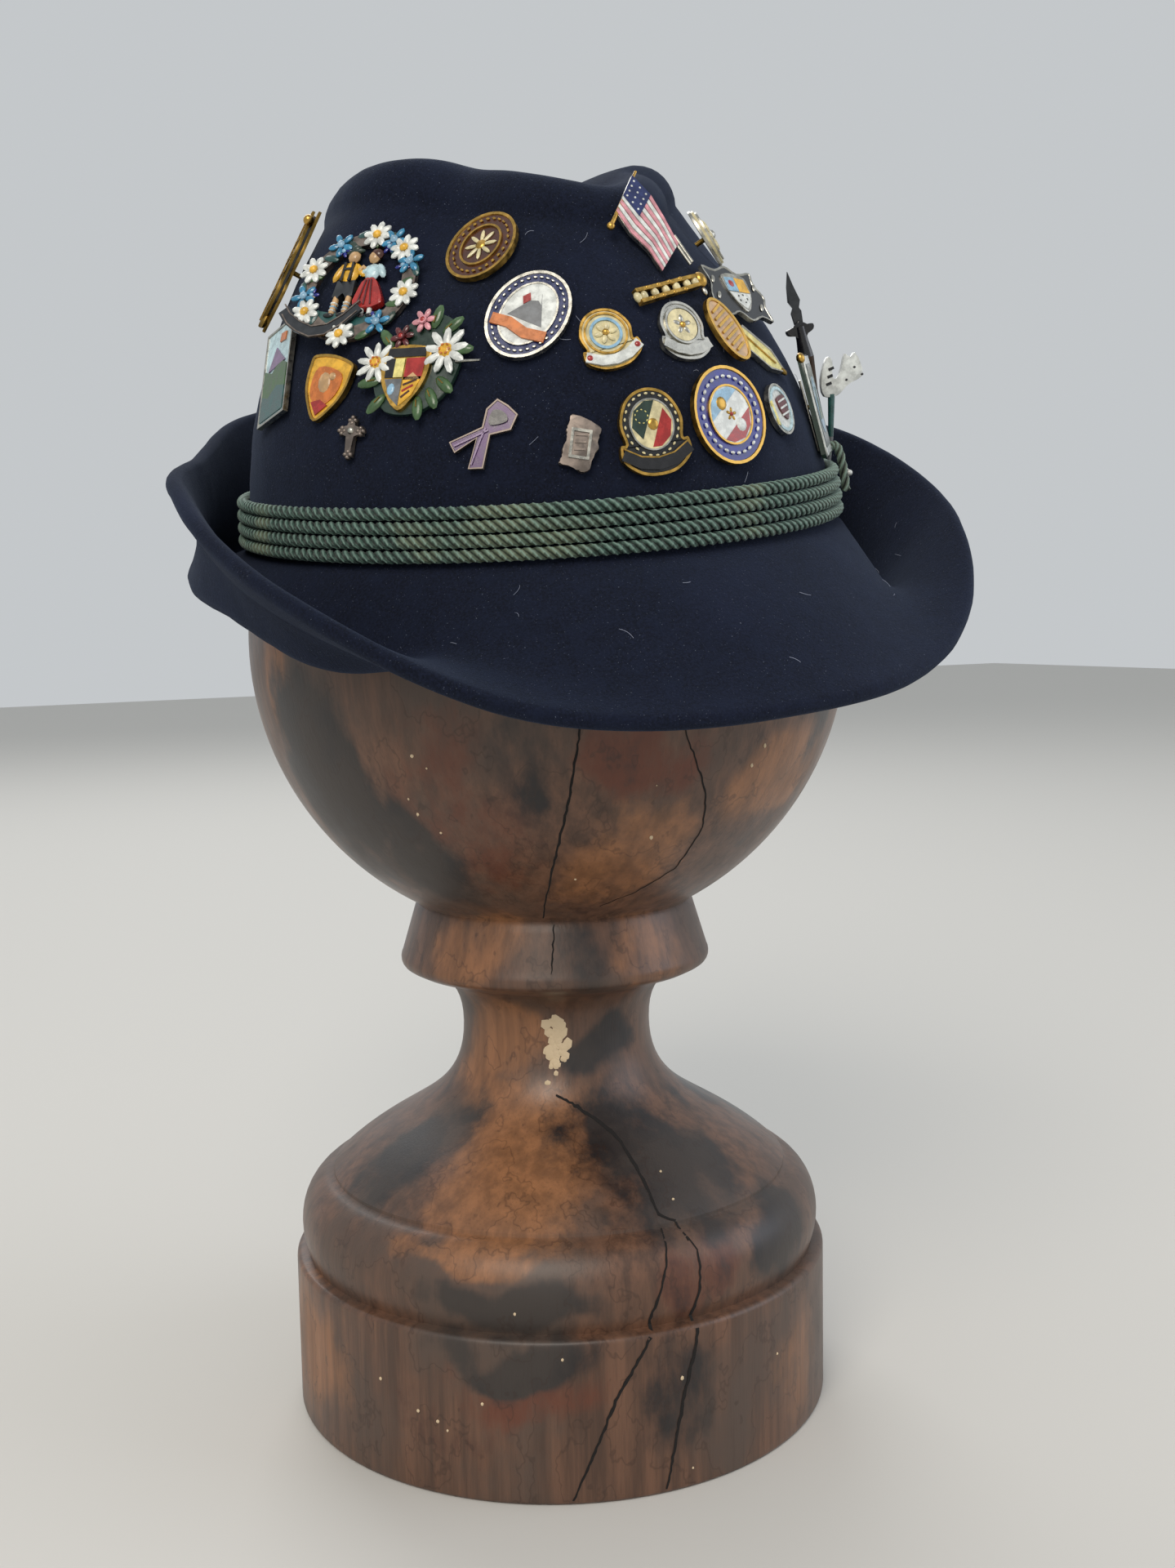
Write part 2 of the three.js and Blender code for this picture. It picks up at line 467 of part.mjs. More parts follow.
// The pins on the crown. angle runs from the front round to the wearer's left, and height is measured up
// the crown from the opening's plane. width, tall and thick are the plate's own size, roll turns it in its
// plane, yaw and pitch turn it out of the felt's plane, and lift is what its post holds it off the felt.
const PINS = [
  { name: "pin_leaf_brooch", paint: 0xb59a4a, shape: "leaf",
    angle: -110, height: 76, width: 15, tall: 37, thick: 2.6, roll: 4, lift: 2 },
  { name: "pin_picture_plate", paint: 0x6fa7a3, shape: "square",
    angle: -91.3, height: 50, width: 16, tall: 27.5, thick: 1.6, roll: 20 },
  { name: "pin_flower_wreath", paint: 0x4f86a6, shape: "wreath",
    angle: -74.4, height: 70.4, width: 36.5, tall: 37.5, thick: 2.4, roll: 0 },
  { name: "pin_yellow_shield", paint: 0xe0a92c, shape: "shield",
    angle: -73, height: 45.5, width: 15.5, tall: 18, thick: 1.8, roll: -11 },
  { name: "pin_blossom_shield", paint: 0xb9a58a, shape: "blossoms",
    angle: -52.1, height: 50.6, width: 30.5, tall: 28, thick: 2.6, roll: 0 },
  { name: "pin_cross", paint: 0x77736c, shape: "cross",
    angle: -64.4, height: 33.3, width: 7, tall: 9.8, thick: 1.8, roll: -2 },
  { name: "pin_brown_round", paint: 0x5a2a1c, shape: "round",
    angle: -40.2, height: 78, width: 20, tall: 22, thick: 1.8, roll: 0 },
  { name: "pin_ribbon", paint: 0x7a3f7e, shape: "ribbon",
    angle: -37.5, height: 33.1, width: 17.4, tall: 17.3, thick: 1.6, roll: 0 },
  { name: "pin_navy_round", paint: 0x2f3d74, shape: "round",
    angle: -28.4, height: 60.7, width: 20.4, tall: 26, thick: 1.8, roll: -30 },
  { name: "pin_cream_scroll", paint: 0xd8cf9d, shape: "scrolled",
    angle: -13.4, height: 54, width: 14.8, tall: 16.2, thick: 1.6, roll: 14 },
  { name: "pin_pewter_plate", paint: 0x8d827a, shape: "wavy",
    angle: -20.9, height: 29.7, width: 9.4, tall: 14, thick: 1.8, roll: -12 },
  { name: "pin_striped_flag", paint: 0xc8a3b0, shape: "flag",
    angle: 1.5, height: 80.5, width: 20, tall: 29, thick: 1.4, roll: 0, yaw: -5, pitch: 10, lift: 0.3 },
  { name: "pin_cast_bar", paint: 0xc9c2a2, shape: "bar",
    angle: 3.5, height: 65.6, width: 24.5, tall: 4.4, thick: 2, roll: 11 },
  { name: "pin_silver_oval", paint: 0xb9b79f, shape: "round",
    angle: 36.2, height: 78.2, width: 13, tall: 17, thick: 2.6, roll: 6, pitch: 10, lift: 0.6 },
  { name: "pin_dark_plate", paint: 0x3b4047, shape: "charcoal",
    angle: 25, height: 62.8, width: 23.4, tall: 17.2, thick: 1.6, roll: -14, yaw: -10, lift: 0.5 },
  { name: "pin_silver_scroll", paint: 0xbfc3b4, shape: "scrolled",
    angle: 2.5, height: 55, width: 14.2, tall: 16, thick: 1.6, roll: -4 },
  { name: "pin_gold_oval", paint: 0xd2ad66, shape: "round",
    angle: 13.2, height: 54, width: 10.8, tall: 18.4, thick: 1.6, roll: 20, lift: 1.9 },
  { name: "pin_yellow_plate", paint: 0xe5d77f, shape: "pointed",
    angle: 25.2, height: 48.5, width: 22.4, tall: 8, thick: 1.6, roll: -37 },
  { name: "pin_black_scroll", paint: 0x23262b, shape: "scrolled",
    angle: -8.1, height: 31.4, width: 18.4, tall: 21.8, thick: 1.8, roll: 4 },
  { name: "pin_blue_ring", paint: 0x2c2f87, shape: "round",
    angle: 8.3, height: 33.9, width: 24.6, tall: 25.4, thick: 1.8, roll: 0 },
  { name: "pin_white_oval", paint: 0xe6ebec, shape: "round",
    angle: 24.3, height: 33.9, width: 12, tall: 14, thick: 1.6, roll: 12 },
  { name: "pin_large_plate", paint: 0x3f5a48, shape: "square",
    angle: 47.5, height: 33, width: 25, tall: 28.5, thick: 2, roll: 0, pitch: 6, lift: 0.6 },
];
const STICK_PAINTS = { spear: 0x2c2620, figure: 0xe9eeee };
const PIN_GAP = 0.35;
const POST = 1.3;
const POST_CLEARANCE = 0.3;
const POST_END = 0.6;

// The frame of a pin: across to the wearer's left, up the crown, and out of the felt, whose slopes are felt
// out a short way to each side.
const FEEL_TURN = 0.02;
const FEEL_RISE = 1;
function pinFrame({ angle, height, roll, yaw = 0, pitch = 0 }) {
  const theta = rad(angle);
  const at = (t, z) => roundPoint(t, wallRadius(t, z), z);
  const here = at(theta, height);
  const across = at(theta + FEEL_TURN, height).sub(at(theta - FEEL_TURN, height));
  const upward = at(theta, height + FEEL_RISE).sub(at(theta, height - FEEL_RISE));
  const out = across.clone().cross(upward).normalize();
  across.normalize();
  const basis = new THREE.Matrix4().makeBasis(across, out.clone().cross(across), out);
  const turn = new THREE.Euler(rad(pitch), rad(yaw), rad(roll), "YXZ");
  basis.multiply(new THREE.Matrix4().makeRotationFromEuler(turn));
  return basis.setPosition(here);
}

// The height of the felt over a pin's back plane, felt out by rays on a grid under the whole plate.
const SEAT_GRID = 8;
const SEAT_REACH = 30;
function feltUnder(frame, feltMesh, { width, tall }) {
  const back = new THREE.Vector3(0, 0, -1).transformDirection(frame);
  const rays = new THREE.Raycaster();
  let highest = 0;
  for (let i = 0; i <= SEAT_GRID; i++) {
    for (let j = 0; j <= SEAT_GRID; j++) {
      const x = width * (i / SEAT_GRID - 0.5);
      const y = tall * (j / SEAT_GRID - 0.5);
      rays.set(new THREE.Vector3(x, y, SEAT_REACH).applyMatrix4(frame), back);
      const hit = rays.intersectObject(feltMesh)[0];
      if (hit) highest = Math.max(highest, SEAT_REACH - hit.distance);
    }
  }
  return highest;
}

const HOLE_RUN_OUT = 2.4;
const wholeFelt = new THREE.Mesh(feltGeometry(), felt);
let feltSolid = toSolid(wholeFelt.geometry);
function prism(side, from, to) {
  return new THREE.BoxGeometry(side, side, to - from).translate(0, 0, (from + to) / 2);
}
function fasten(name, color, solid, frame, hole) {
  const paint = new THREE.MeshStandardMaterial({ color, roughness: 0.35, metalness: 0.6 });
  const mesh = add(head, name, fromSolid(solid), paint);
  mesh.position.setFromMatrixPosition(frame);
  mesh.quaternion.setFromRotationMatrix(frame);
  feltSolid = feltSolid.subtract(toSolid(hole.applyMatrix4(frame)));
}
for (const pin of PINS) {
  const frame = pinFrame(pin);
  const seat = feltUnder(frame, wholeFelt, pin) + PIN_GAP + (pin.lift ?? 0);
  const shape = OUTLINES[pin.shape](pin.width, pin.tall);
  const plate = new THREE.ExtrudeGeometry(shape, { depth: pin.thick, bevelEnabled: false });
  plate.translate(0, 0, seat);
  const post = prism(POST, -FELT - POST_END, seat + pin.thick / 2);
  const hole = prism(POST + 2 * POST_CLEARANCE, -FELT - 2 * POST_END - HOLE_RUN_OUT, seat);
  fasten(pin.name, pin.paint, toSolid(plate).add(toSolid(post)), frame, hole);
}

// Two stick pins stand off the crown at the wearer's left. Their frames lie in the plane through the crown's
// axis: out of the crown, up, and round it. Each is held by a post that runs back through the felt.
function stickFrame(angle, stand, height) {
  const theta = rad(angle);
  const out = new THREE.Vector3(Math.sin(theta), -Math.cos(theta), 0);
  const up = new THREE.Vector3(0, 0, 1);
  const basis = new THREE.Matrix4().makeBasis(out, up, out.clone().cross(up));
  const foot = out.multiplyScalar(wallRadius(theta, height) + stand).setZ(height);
  return basis.setPosition(foot);
}
function stickPost(side, stand, height) {
  const box = new THREE.BoxGeometry(stand + 2 * FELT + POST_END, side, side);
  return box.translate(-(stand + 2 * FELT + POST_END) / 2, height, 0);
}

// The spear: a turned bronze stick with a collar under its blade.
const SPEAR_LENGTH = 50;
const SPEAR_ANGLE = 67;
const SPEAR_STAND = 4;
const SPEAR_FOOT = 22;
const SPEAR_LEAN = 12;
const SPEAR_POST = 3;
const SPEAR_PROFILE = [
  [0, 0], [1.2, 0], [1.3, 0.3], [2.4, 0.5], [1.8, 0.6], [3.6, 0.67], [1.4, 0.72], [1.1, 0.88], [0, 1],
];
const SPEAR_SIDES = 8;
const spear = new THREE.LatheGeometry(scaled(1, SPEAR_LENGTH, SPEAR_PROFILE), SPEAR_SIDES);
spear.rotateZ(rad(SPEAR_LEAN));
fasten("pin_spear", STICK_PAINTS.spear,
  toSolid(spear).add(toSolid(stickPost(POST, SPEAR_STAND, SPEAR_POST))),
  stickFrame(SPEAR_ANGLE, SPEAR_STAND, SPEAR_FOOT),
  stickPost(POST + 2 * POST_CLEARANCE, SPEAR_STAND, SPEAR_POST).translate(-POST_END, 0, 0));

// The white figure: a small animal in profile on a needle that hangs down outside the band.
const FIGURE_WIDTH = 13.5;
const FIGURE_HEIGHT = 12.5;
const FIGURE_THICK = 1.6;
const FIGURE_ANGLE = 72.5;
const FIGURE_STAND = 9.6;
const FIGURE_FOOT = 34.5;
const FIGURE_POST = 1.2;
const POST_SINK = 2;
const NEEDLE = 1.1;
const NEEDLE_DROP = 22;
const NEEDLE_SINK = 1;
const FIGURE_PLACE = 0.1;
const NEEDLE_PLACE = 0.22;
const FIGURE_OUTLINE = [
  [0.1, 0], [0.42, 0.02], [0.6, 0.2], [0.74, 0.3], [0.98, 0.42], [1, 0.62], [0.84, 1], [0.72, 0.86],
  [0.6, 0.98], [0.5, 0.62], [0.4, 0.4], [0.28, 0.44], [0.3, 0.84], [0.16, 0.9], [0.02, 0.4],
];
const figureShape = new THREE.Shape(scaled(FIGURE_WIDTH, FIGURE_HEIGHT, FIGURE_OUTLINE));
const figure = new THREE.ExtrudeGeometry(figureShape, { depth: FIGURE_THICK, bevelEnabled: false });
figure.translate(-FIGURE_WIDTH * FIGURE_PLACE, 0, -FIGURE_THICK / 2);
const needle = new THREE.BoxGeometry(NEEDLE, NEEDLE_DROP, NEEDLE);
needle.translate(FIGURE_WIDTH * NEEDLE_PLACE, NEEDLE_SINK - NEEDLE_DROP / 2, 0);
const figurePost = stickPost(POST, FIGURE_STAND, FIGURE_POST).translate(POST_SINK, 0, 0);
fasten("pin_white_figure", STICK_PAINTS.figure,
  toSolid(figure).add(toSolid(needle)).add(toSolid(figurePost)),
  stickFrame(FIGURE_ANGLE, FIGURE_STAND, FIGURE_FOOT),
  stickPost(POST + 2 * POST_CLEARANCE, FIGURE_STAND, FIGURE_POST).translate(-POST_END, 0, 0));
add(head, "hat_felt", fromSolid(feltSolid), felt);

export default root;
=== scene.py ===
"""A navy felt Tyrolean hat with a corded band and enamel pins, on a turned wooden stand."""
import bpy
import bmesh
import math
import random
from mathutils import Matrix, Vector, noise


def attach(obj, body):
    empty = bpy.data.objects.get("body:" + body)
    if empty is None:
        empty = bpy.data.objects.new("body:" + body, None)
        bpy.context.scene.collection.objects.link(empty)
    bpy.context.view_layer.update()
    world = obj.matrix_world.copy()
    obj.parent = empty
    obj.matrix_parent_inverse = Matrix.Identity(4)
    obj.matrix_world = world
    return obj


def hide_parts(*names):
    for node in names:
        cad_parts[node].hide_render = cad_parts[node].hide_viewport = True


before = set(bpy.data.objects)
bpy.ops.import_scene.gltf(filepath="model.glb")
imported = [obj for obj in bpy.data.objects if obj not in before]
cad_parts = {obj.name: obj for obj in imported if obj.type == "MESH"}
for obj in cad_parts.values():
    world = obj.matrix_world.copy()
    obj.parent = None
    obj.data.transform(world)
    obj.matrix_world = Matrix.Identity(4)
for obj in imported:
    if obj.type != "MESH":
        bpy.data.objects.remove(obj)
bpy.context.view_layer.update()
random.seed(11)

# The camera stands a little below the hat's brim, in front and to the right of the wearer, and looks
# slightly down. The picture is upright, so the lens is measured on its tall side.
MM = 0.001
CAMERA_PLACE = Vector((-245.1, -446.3, 241.4)) * MM
CAMERA_TURN_DEG = 30.0
CAMERA_PITCH_DEG = 6.19
CAMERA_ROLL_DEG = 1.01
LENS_MM = 38.55
FILM_MM = 36.0

camera_data = bpy.data.cameras.new("camera")
camera_data.sensor_fit = "VERTICAL"
camera_data.sensor_height = FILM_MM
camera_data.lens = LENS_MM
camera_data.clip_start = 0.01
camera = bpy.data.objects.new("camera", camera_data)
bpy.context.scene.collection.objects.link(camera)
camera.matrix_world = (
    Matrix.Translation(CAMERA_PLACE)
    @ Matrix.Rotation(math.radians(-CAMERA_TURN_DEG), 4, "Z")
    @ Matrix.Rotation(math.radians(90 - CAMERA_PITCH_DEG), 4, "X")
    @ Matrix.Rotation(math.radians(-CAMERA_ROLL_DEG), 4, "Z"))
bpy.context.scene.camera = camera

# The stand is one piece of oiled, spalted wood, turned on a lathe: a drum foot, a bead, a hollow cone that
# runs up to the neck, a flared collar and the ball that holds the hat. Old drying cracks run down its front,
# drawn as strips of painted shade.
BALL_RADIUS = 89.0
BALL_HEIGHT = 231.0
FOOT_RADIUS = 81.5
FOOT_HEIGHT = 46.0
BEAD_RADIUS = 79.4
CONE_RADIUS = 69.5
CONE_HEIGHT = 71.0
NECK_RADIUS = 28.6
NECK_HEIGHT = 114.0
COLLAR_RADIUS = 47.2
COLLAR_HEIGHT = 134.5
COLLAR_TOP_RADIUS = 41.5
STAND_TURNS = 180


def arc(centre, radius, start, end, steps, squash=1.0):
    """Points on a round stretch of a turned profile, with its angles in degrees from the horizontal."""
    points = []
    for i in range(steps + 1):
        a = math.radians(start + (end - start) * i / steps)
        points.append((centre[0] + radius * math.cos(a), centre[1] + radius * squash * math.sin(a)))
    return points


def bezier(a, b, c, d, steps):
    """Points on a hollow or swelling curve between a and d, without its first point."""
    points = []
    for i in range(1, steps + 1):
        t = i / steps
        s = 1 - t
        weights = (s ** 3, 3 * s * s * t, 3 * s * t * t, t ** 3)
        points.append(tuple(sum(w * p[k] for w, p in zip(weights, (a, b, c, d))) for k in (0, 1)))
    return points


def densify(points, step):
    """The same profile with more points on its long straight stretches."""
    dense = [points[0]]
    for a, b in zip(points, points[1:]):
        count = max(1, round(math.dist(a, b) / step))
        dense += [(a[0] + (b[0] - a[0]) * i / count, a[1] + (b[1] - a[1]) * i / count)
                  for i in range(1, count + 1)]
    return dense


sweep_height = CONE_HEIGHT + (NECK_HEIGHT - CONE_HEIGHT) * 0.42
under_collar = COLLAR_HEIGHT - 5.5
ball_start = math.degrees(math.asin(COLLAR_TOP_RADIUS / BALL_RADIUS)) - 90
profile = [(0, 0), (FOOT_RADIUS - 5, 0)]
profile += arc((FOOT_RADIUS - 1.2, 1.2), 1.2, -90, 0, 4)
profile += arc((FOOT_RADIUS - 1.6, FOOT_HEIGHT - 1.6), 1.6, 0, 90, 5)
profile += [(BEAD_RADIUS - 1.6, FOOT_HEIGHT + 0.4), (BEAD_RADIUS - 1.4, FOOT_HEIGHT + 1.4)]
profile += bezier((BEAD_RADIUS - 1.4, FOOT_HEIGHT + 1.4), (BEAD_RADIUS + 1.6, FOOT_HEIGHT + 9),
                  (BEAD_RADIUS + 0.4, CONE_HEIGHT - 6), (CONE_RADIUS + 2.2, CONE_HEIGHT - 1.9), 12)
profile += [(CONE_RADIUS + 1.0, CONE_HEIGHT - 1.6), (CONE_RADIUS + 0.1, CONE_HEIGHT - 0.9),
            (CONE_RADIUS, CONE_HEIGHT)]
profile += bezier((CONE_RADIUS, CONE_HEIGHT), (CONE_RADIUS * 0.72, sweep_height), (NECK_RADIUS, sweep_height),
                  (NECK_RADIUS, NECK_HEIGHT), 22)
profile += bezier((NECK_RADIUS, NECK_HEIGHT), (NECK_RADIUS, NECK_HEIGHT + 9),
                  (NECK_RADIUS + 3, under_collar - 1.5),
                  (NECK_RADIUS + 7.5, under_collar), 8)
profile += [(COLLAR_RADIUS - 4, COLLAR_HEIGHT - 3.3), (COLLAR_RADIUS - 1.6, COLLAR_HEIGHT - 2.1)]
profile += bezier((COLLAR_RADIUS - 1.6, COLLAR_HEIGHT - 2.1), (COLLAR_RADIUS, COLLAR_HEIGHT - 1.4),
                  (COLLAR_RADIUS + 0.3, COLLAR_HEIGHT + 0.8), (COLLAR_RADIUS - 0.6, COLLAR_HEIGHT + 2.4), 6)
profile += [(COLLAR_TOP_RADIUS + 0.9, BALL_HEIGHT - 80.2), (COLLAR_TOP_RADIUS + 0.2, BALL_HEIGHT - 79.2)]
profile += arc((0, BALL_HEIGHT), BALL_RADIUS, ball_start + 0.6, 90, 64)
profile[-1] = (0, BALL_HEIGHT + BALL_RADIUS)

stand = bmesh.new()
rim = [stand.verts.new((r * MM, 0, z * MM)) for r, z in densify(profile, 2.6)]
edges = [stand.edges.new(pair) for pair in zip(rim, rim[1:])]
bmesh.ops.spin(stand, geom=rim + edges, cent=(0, 0, 0), axis=(0, 0, 1), angle=2 * math.pi, steps=STAND_TURNS,
               use_merge=True)
bmesh.ops.remove_doubles(stand, verts=stand.verts, dist=0.02 * MM)
bmesh.ops.recalc_face_normals(stand, faces=stand.faces)

# Stains and figure of the wood: where each patch lies on the stand (degrees round from the front, and mm
# up), how wide and tall it is, and how much black, pale sapwood and red heartwood it shows.
PATCH_COLUMNS = ("angle", "height", "wide", "tall", "black", "pale", "red")
PATCHES = [dict(zip(PATCH_COLUMNS, row)) for row in (
    (-78, 196, 46, 60, 1.0, 0.0, 0.0),
    (-62, 172, 26, 44, 0.9, 0.0, 0.0),
    (-86, 216, 16, 46, 0.0, 0.9, 0.0),
    (-46, 190, 50, 64, 0.32, 0.0, 0.55),
    (-34, 200, 34, 60, 0.62, 0.0, 0.3),
    (-12, 201, 38, 24, 0.4, 0.0, 0.8),
    (-10, 175, 44, 30, 0.0, 0.7, 0.35),
    (22, 195, 50, 26, 0.0, 0.95, 0.1),
    (22, 178, 50, 26, 0.45, 0.2, 0.2),
    (34, 216, 22, 50, 0.8, 0.0, 0.2),
    (-20, 142, 22, 24, 0.6, 0.0, 0.3),
    (-60, 140, 40, 26, 0.0, 0.7, 0.1),
    (10, 140, 26, 26, 0.1, 0.55, 0.1),
    (-4, 112, 20, 22, 1.0, 0.0, 0.0),
    (-70, 108, 34, 40, 0.0, 0.85, 0.2),
    (-42, 84, 46, 40, 0.0, 1.0, 0.25),
    (-86, 80, 40, 34, 0.75, 0.0, 0.0),
    (4, 84, 60, 34, 0.85, 0.0, 0.0),
    (28, 76, 24, 30, 0.3, 0.4, 0.2),
    (-46, 66, 56, 10, 0.0, 0.8, 0.4),
    (-38, 53, 50, 14, 1.0, 0.0, 0.0),
    (0, 60, 26, 26, 0.55, 0.0, 0.7),
    (24, 60, 34, 22, 0.9, 0.0, 0.2),
    (-38, 40, 42, 12, 1.0, 0.0, 0.3),
    (-38, 30, 58, 22, 0.25, 0.0, 0.55),
    (-56, 18, 50, 30, 0.4, 0.1, 0.35),
    (-4, 24, 40, 44, 0.6, 0.1, 0.2),
    (30, 26, 34, 44, 0.3, 0.5, 0.1),
    (-96, 26, 54, 48, 0.05, 0.7, 0.1),
    (110, 190, 90, 70, 0.7, 0.0, 0.3),
    (160, 60, 90, 60, 0.2, 0.8, 0.2),
    (90, 84, 70, 40, 0.7, 0.1, 0.1),
)]
FIGURE_SHIFT = Vector((0.31, 0.17, 0.53))


def figure_at(place):
    """The black, pale and red of the wood at a point of the stand's surface."""
    shifted = place + FIGURE_SHIFT
    blur_across = noise.noise(place * 38) * 9 + noise.noise(place * 120) * 3
    blur_along = noise.noise(shifted * 38) * 9 + noise.noise(shifted * 120) * 3
    shares = {"black": 0.0, "pale": 0.0, "red": 0.0}
    radius = max(math.hypot(place.x, place.y) / MM, 12)
    turn = math.degrees(math.atan2(place.x, -place.y))
    for patch in PATCHES:
        away = (turn - patch["angle"] + 180) % 360 - 180
        across = (math.radians(away) * radius + blur_across) / (patch["wide"] / 2)
        along = (place.z / MM - patch["height"] + blur_along) / (patch["tall"] / 2)
        near = 1.5 - math.hypot(across, along)
        for tint in shares:
            shares[tint] = max(shares[tint], patch[tint] * min(max(near, 0), 1))
    return shares["black"], shares["pale"], shares["red"], 1.0


figure = stand.verts.layers.float_color.new("figure")
for vert in stand.verts:
    vert[figure] = figure_at(vert.co)


def finished(name, bm, paints, slot, *nodes):
    """Turns a bmesh into a smooth piece that rides with the hat and stands for its CAD nodes."""
    mesh = bpy.data.meshes.new(name)
    bm.to_mesh(mesh)
    bm.free()
    for paint in paints:
        mesh.materials.append(paint)
    for face in mesh.polygons:
        face.use_smooth = True
    mesh.set_sharp_from_angle(angle=math.radians(38))
    piece = bpy.data.objects.new(name, mesh)
    bpy.context.scene.collection.objects.link(piece)
    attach(piece, "root")
    if nodes:
        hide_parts(*nodes)
    return piece


def node(tree, kind, sockets=(), **settings):
    """A shader node with its settings, whose sockets take values or other nodes' outputs."""
    made = tree.nodes.new("ShaderNode" + kind)
    for key, value in settings.items():
        setattr(made, key, value)
    for key, value in dict(sockets).items():
        if isinstance(value, bpy.types.NodeSocket):
            tree.links.new(value, made.inputs[key])
        else:
            made.inputs[key].default_value = value
    return made


def colour(code):
    """A hex colour as linear light."""
    parts = [int(code[i:i + 2], 16) / 255 for i in (0, 2, 4)]
    return tuple(p / 12.92 if p <= 0.04045 else ((p + 0.055) / 1.055) ** 2.4 for p in parts) + (1.0,)


def material(name, **sockets):
    """A new material, its node tree and its shader, with plain values on the shader's own sockets."""
    made = bpy.data.materials.new(name)
    made.use_nodes = True
    shader = made.node_tree.nodes["Principled BSDF"]
    for key, value in sockets.items():
        shader.inputs[key.replace("_", " ")].default_value = value
    return made, made.node_tree, shader


def mixed(tree, factor, a, b, blend="MIX"):
    """The colour between a and b by factor, each a colour or another node's output."""
    made = node(tree, "Mix", {0: factor, 6: a, 7: b}, data_type="RGBA", blend_type=blend)
    return made.outputs[2]


def speckle(tree, place, scale, detail=4.0, stretch=(1, 1, 1), rough=0.55):
    """Fractal noise over the piece, stretched along an axis where a grain runs that way."""
    mapped = node(tree, "Mapping", {"Vector": place, "Scale": stretch})
    made = node(tree, "TexNoise", {"Vector": mapped.outputs[0], "Scale": scale, "Detail": detail,
                                   "Roughness": rough})
    return made.outputs["Fac"]


def between(tree, value, low, high, out_low=0.0, out_high=1.0):
    """A value spread from low to high, clamped at both ends."""
    made = node(tree, "MapRange", {"Value": value, "From Min": low, "From Max": high, "To Min": out_low,
                                   "To Max": out_high}, interpolation_type="SMOOTHSTEP")
    return made.outputs[0]


def maths(tree, operation, a, b=0.0):
    """One sum on two values or outputs."""
    return node(tree, "Math", {0: a, 1: b}, operation=operation).outputs[0]


def bump(tree, shader, height, distance, strength=1.0):
    """Fine relief on a shader, distance in metres."""
    made = node(tree, "Bump", {"Height": height, "Distance": distance, "Strength": strength})
    tree.links.new(made.outputs[0], shader.inputs["Normal"])


wood, tree, shader = material("oiled_spalted_wood", Roughness=0.42, Specular_IOR_Level=0.42, Coat_Weight=0.18,
                              Coat_Roughness=0.34)
place = node(tree, "TexCoord").outputs["Object"]
masks = node(tree, "SeparateColor", {"Color": node(tree, "Attribute",
                                                   attribute_name="figure").outputs["Color"]})
ragged = speckle(tree, place, 90, 7.0, (1, 1, 0.5), 0.62)
cloudy = speckle(tree, place, 24, 5.0, (1, 1, 0.7), 0.6)
grain = speckle(tree, place, 260, 5.0, (1, 1, 0.07), 0.6)
fibre = speckle(tree, place, 1500, 3.0, (1, 1, 0.04), 0.5)
lean = maths(tree, "SUBTRACT", ragged, 0.5)


def patchy(mask, spread, low, high):
    """A stain's mask with a ragged edge."""
    loose = maths(tree, "ADD", mask, maths(tree, "MULTIPLY", lean, spread))
    return between(tree, loose, low, high)


rings = maths(tree, "PINGPONG", maths(tree, "MULTIPLY", cloudy, 9.0), 0.5)
body = mixed(tree, between(tree, grain, 0.3, 0.72), colour("6a4b39"), colour("463227"))
body = mixed(tree, between(tree, cloudy, 0.42, 0.66), body, colour("4f4037"))
body = mixed(tree, patchy(masks.outputs["Blue"], 1.3, 0.3, 0.85), body, colour("61321f"))
body = mixed(tree, patchy(masks.outputs["Green"], 1.2, 0.3, 0.8), body,
             mixed(tree, between(tree, grain, 0.3, 0.7), colour("8f6241"), colour("714d33")))
body = mixed(tree, patchy(masks.outputs["Red"], 1.3, 0.35, 0.8), body,
             mixed(tree, between(tree, cloudy, 0.4, 0.62), colour("1d191a"), colour("352e2a")))
body = mixed(tree, between(tree, rings, 0.0, 0.07, 0.4, 0.0), body, colour("2b1a12"))
body = mixed(tree, between(tree, fibre, 0.55, 0.8, 0, 0.35), body, colour("2e1d15"))
tree.links.new(body, shader.inputs["Base Color"])
tree.links.new(between(tree, cloudy, 0.35, 0.7, 0.34, 0.55), shader.inputs["Roughness"])
bump(tree, shader, maths(tree, "ADD", grain, maths(tree, "MULTIPLY", fibre, 0.6)), 0.12 * MM, 0.6)

# The wood has split as it dried. Each split (degrees round from the front, and mm up) is a near-black strip
# laid just over the face: painted shade that stands for the open crack, which is not cut in. Two of them are
# old joints in the ball. A pale crumbled filler is left beside the neck's split.
SPLITS = [
    {"width": 1.1, "line": [(-29.8, 98.8), (-22, 96.6), (-15, 93.9), (-9, 90.6), (-5.7, 87.5), (-4.9, 80),
                            (-5.1, 73),
                            (-1.5, 71.2), (-1, 67)]},
    {"width": 1.0, "line": [(-5.4, 70), (-6.3, 67.6), (-8.2, 60.2), (-11.2, 49.6), (-11.5, 46.2),
                            (-19, 28.6), (-27.4, 1.4)]},
    {"width": 1.1, "line": [(-1.2, 68.6), (0.2, 64.8), (-0.6, 55.3), (-2.2, 47.4), (-2.3, 41.2),
                            (-5.4, 25.4), (-9.1, 1.4)]},
    {"width": 0.7, "line": [(-22.6, 222), (-23.8, 209.4), (-26, 187.7), (-29.6, 166.7), (-32.9, 153)]},
    {"width": 0.5, "line": [(-29.2, 151), (-29.6, 143), (-30.2, 137.6)]},
    {"width": 0.5, "line": [(-8.6, 222), (-4.8, 206.9), (2.1, 190.1), (4.7, 180.5), (3.2, 168),
                            (-4.7, 161.3), (-14, 157)]},
]
FILLER_PLACE = (-29.5, 113.0)
FILLER_SPREAD = (5.6, 9.0)
SPECKS = 22


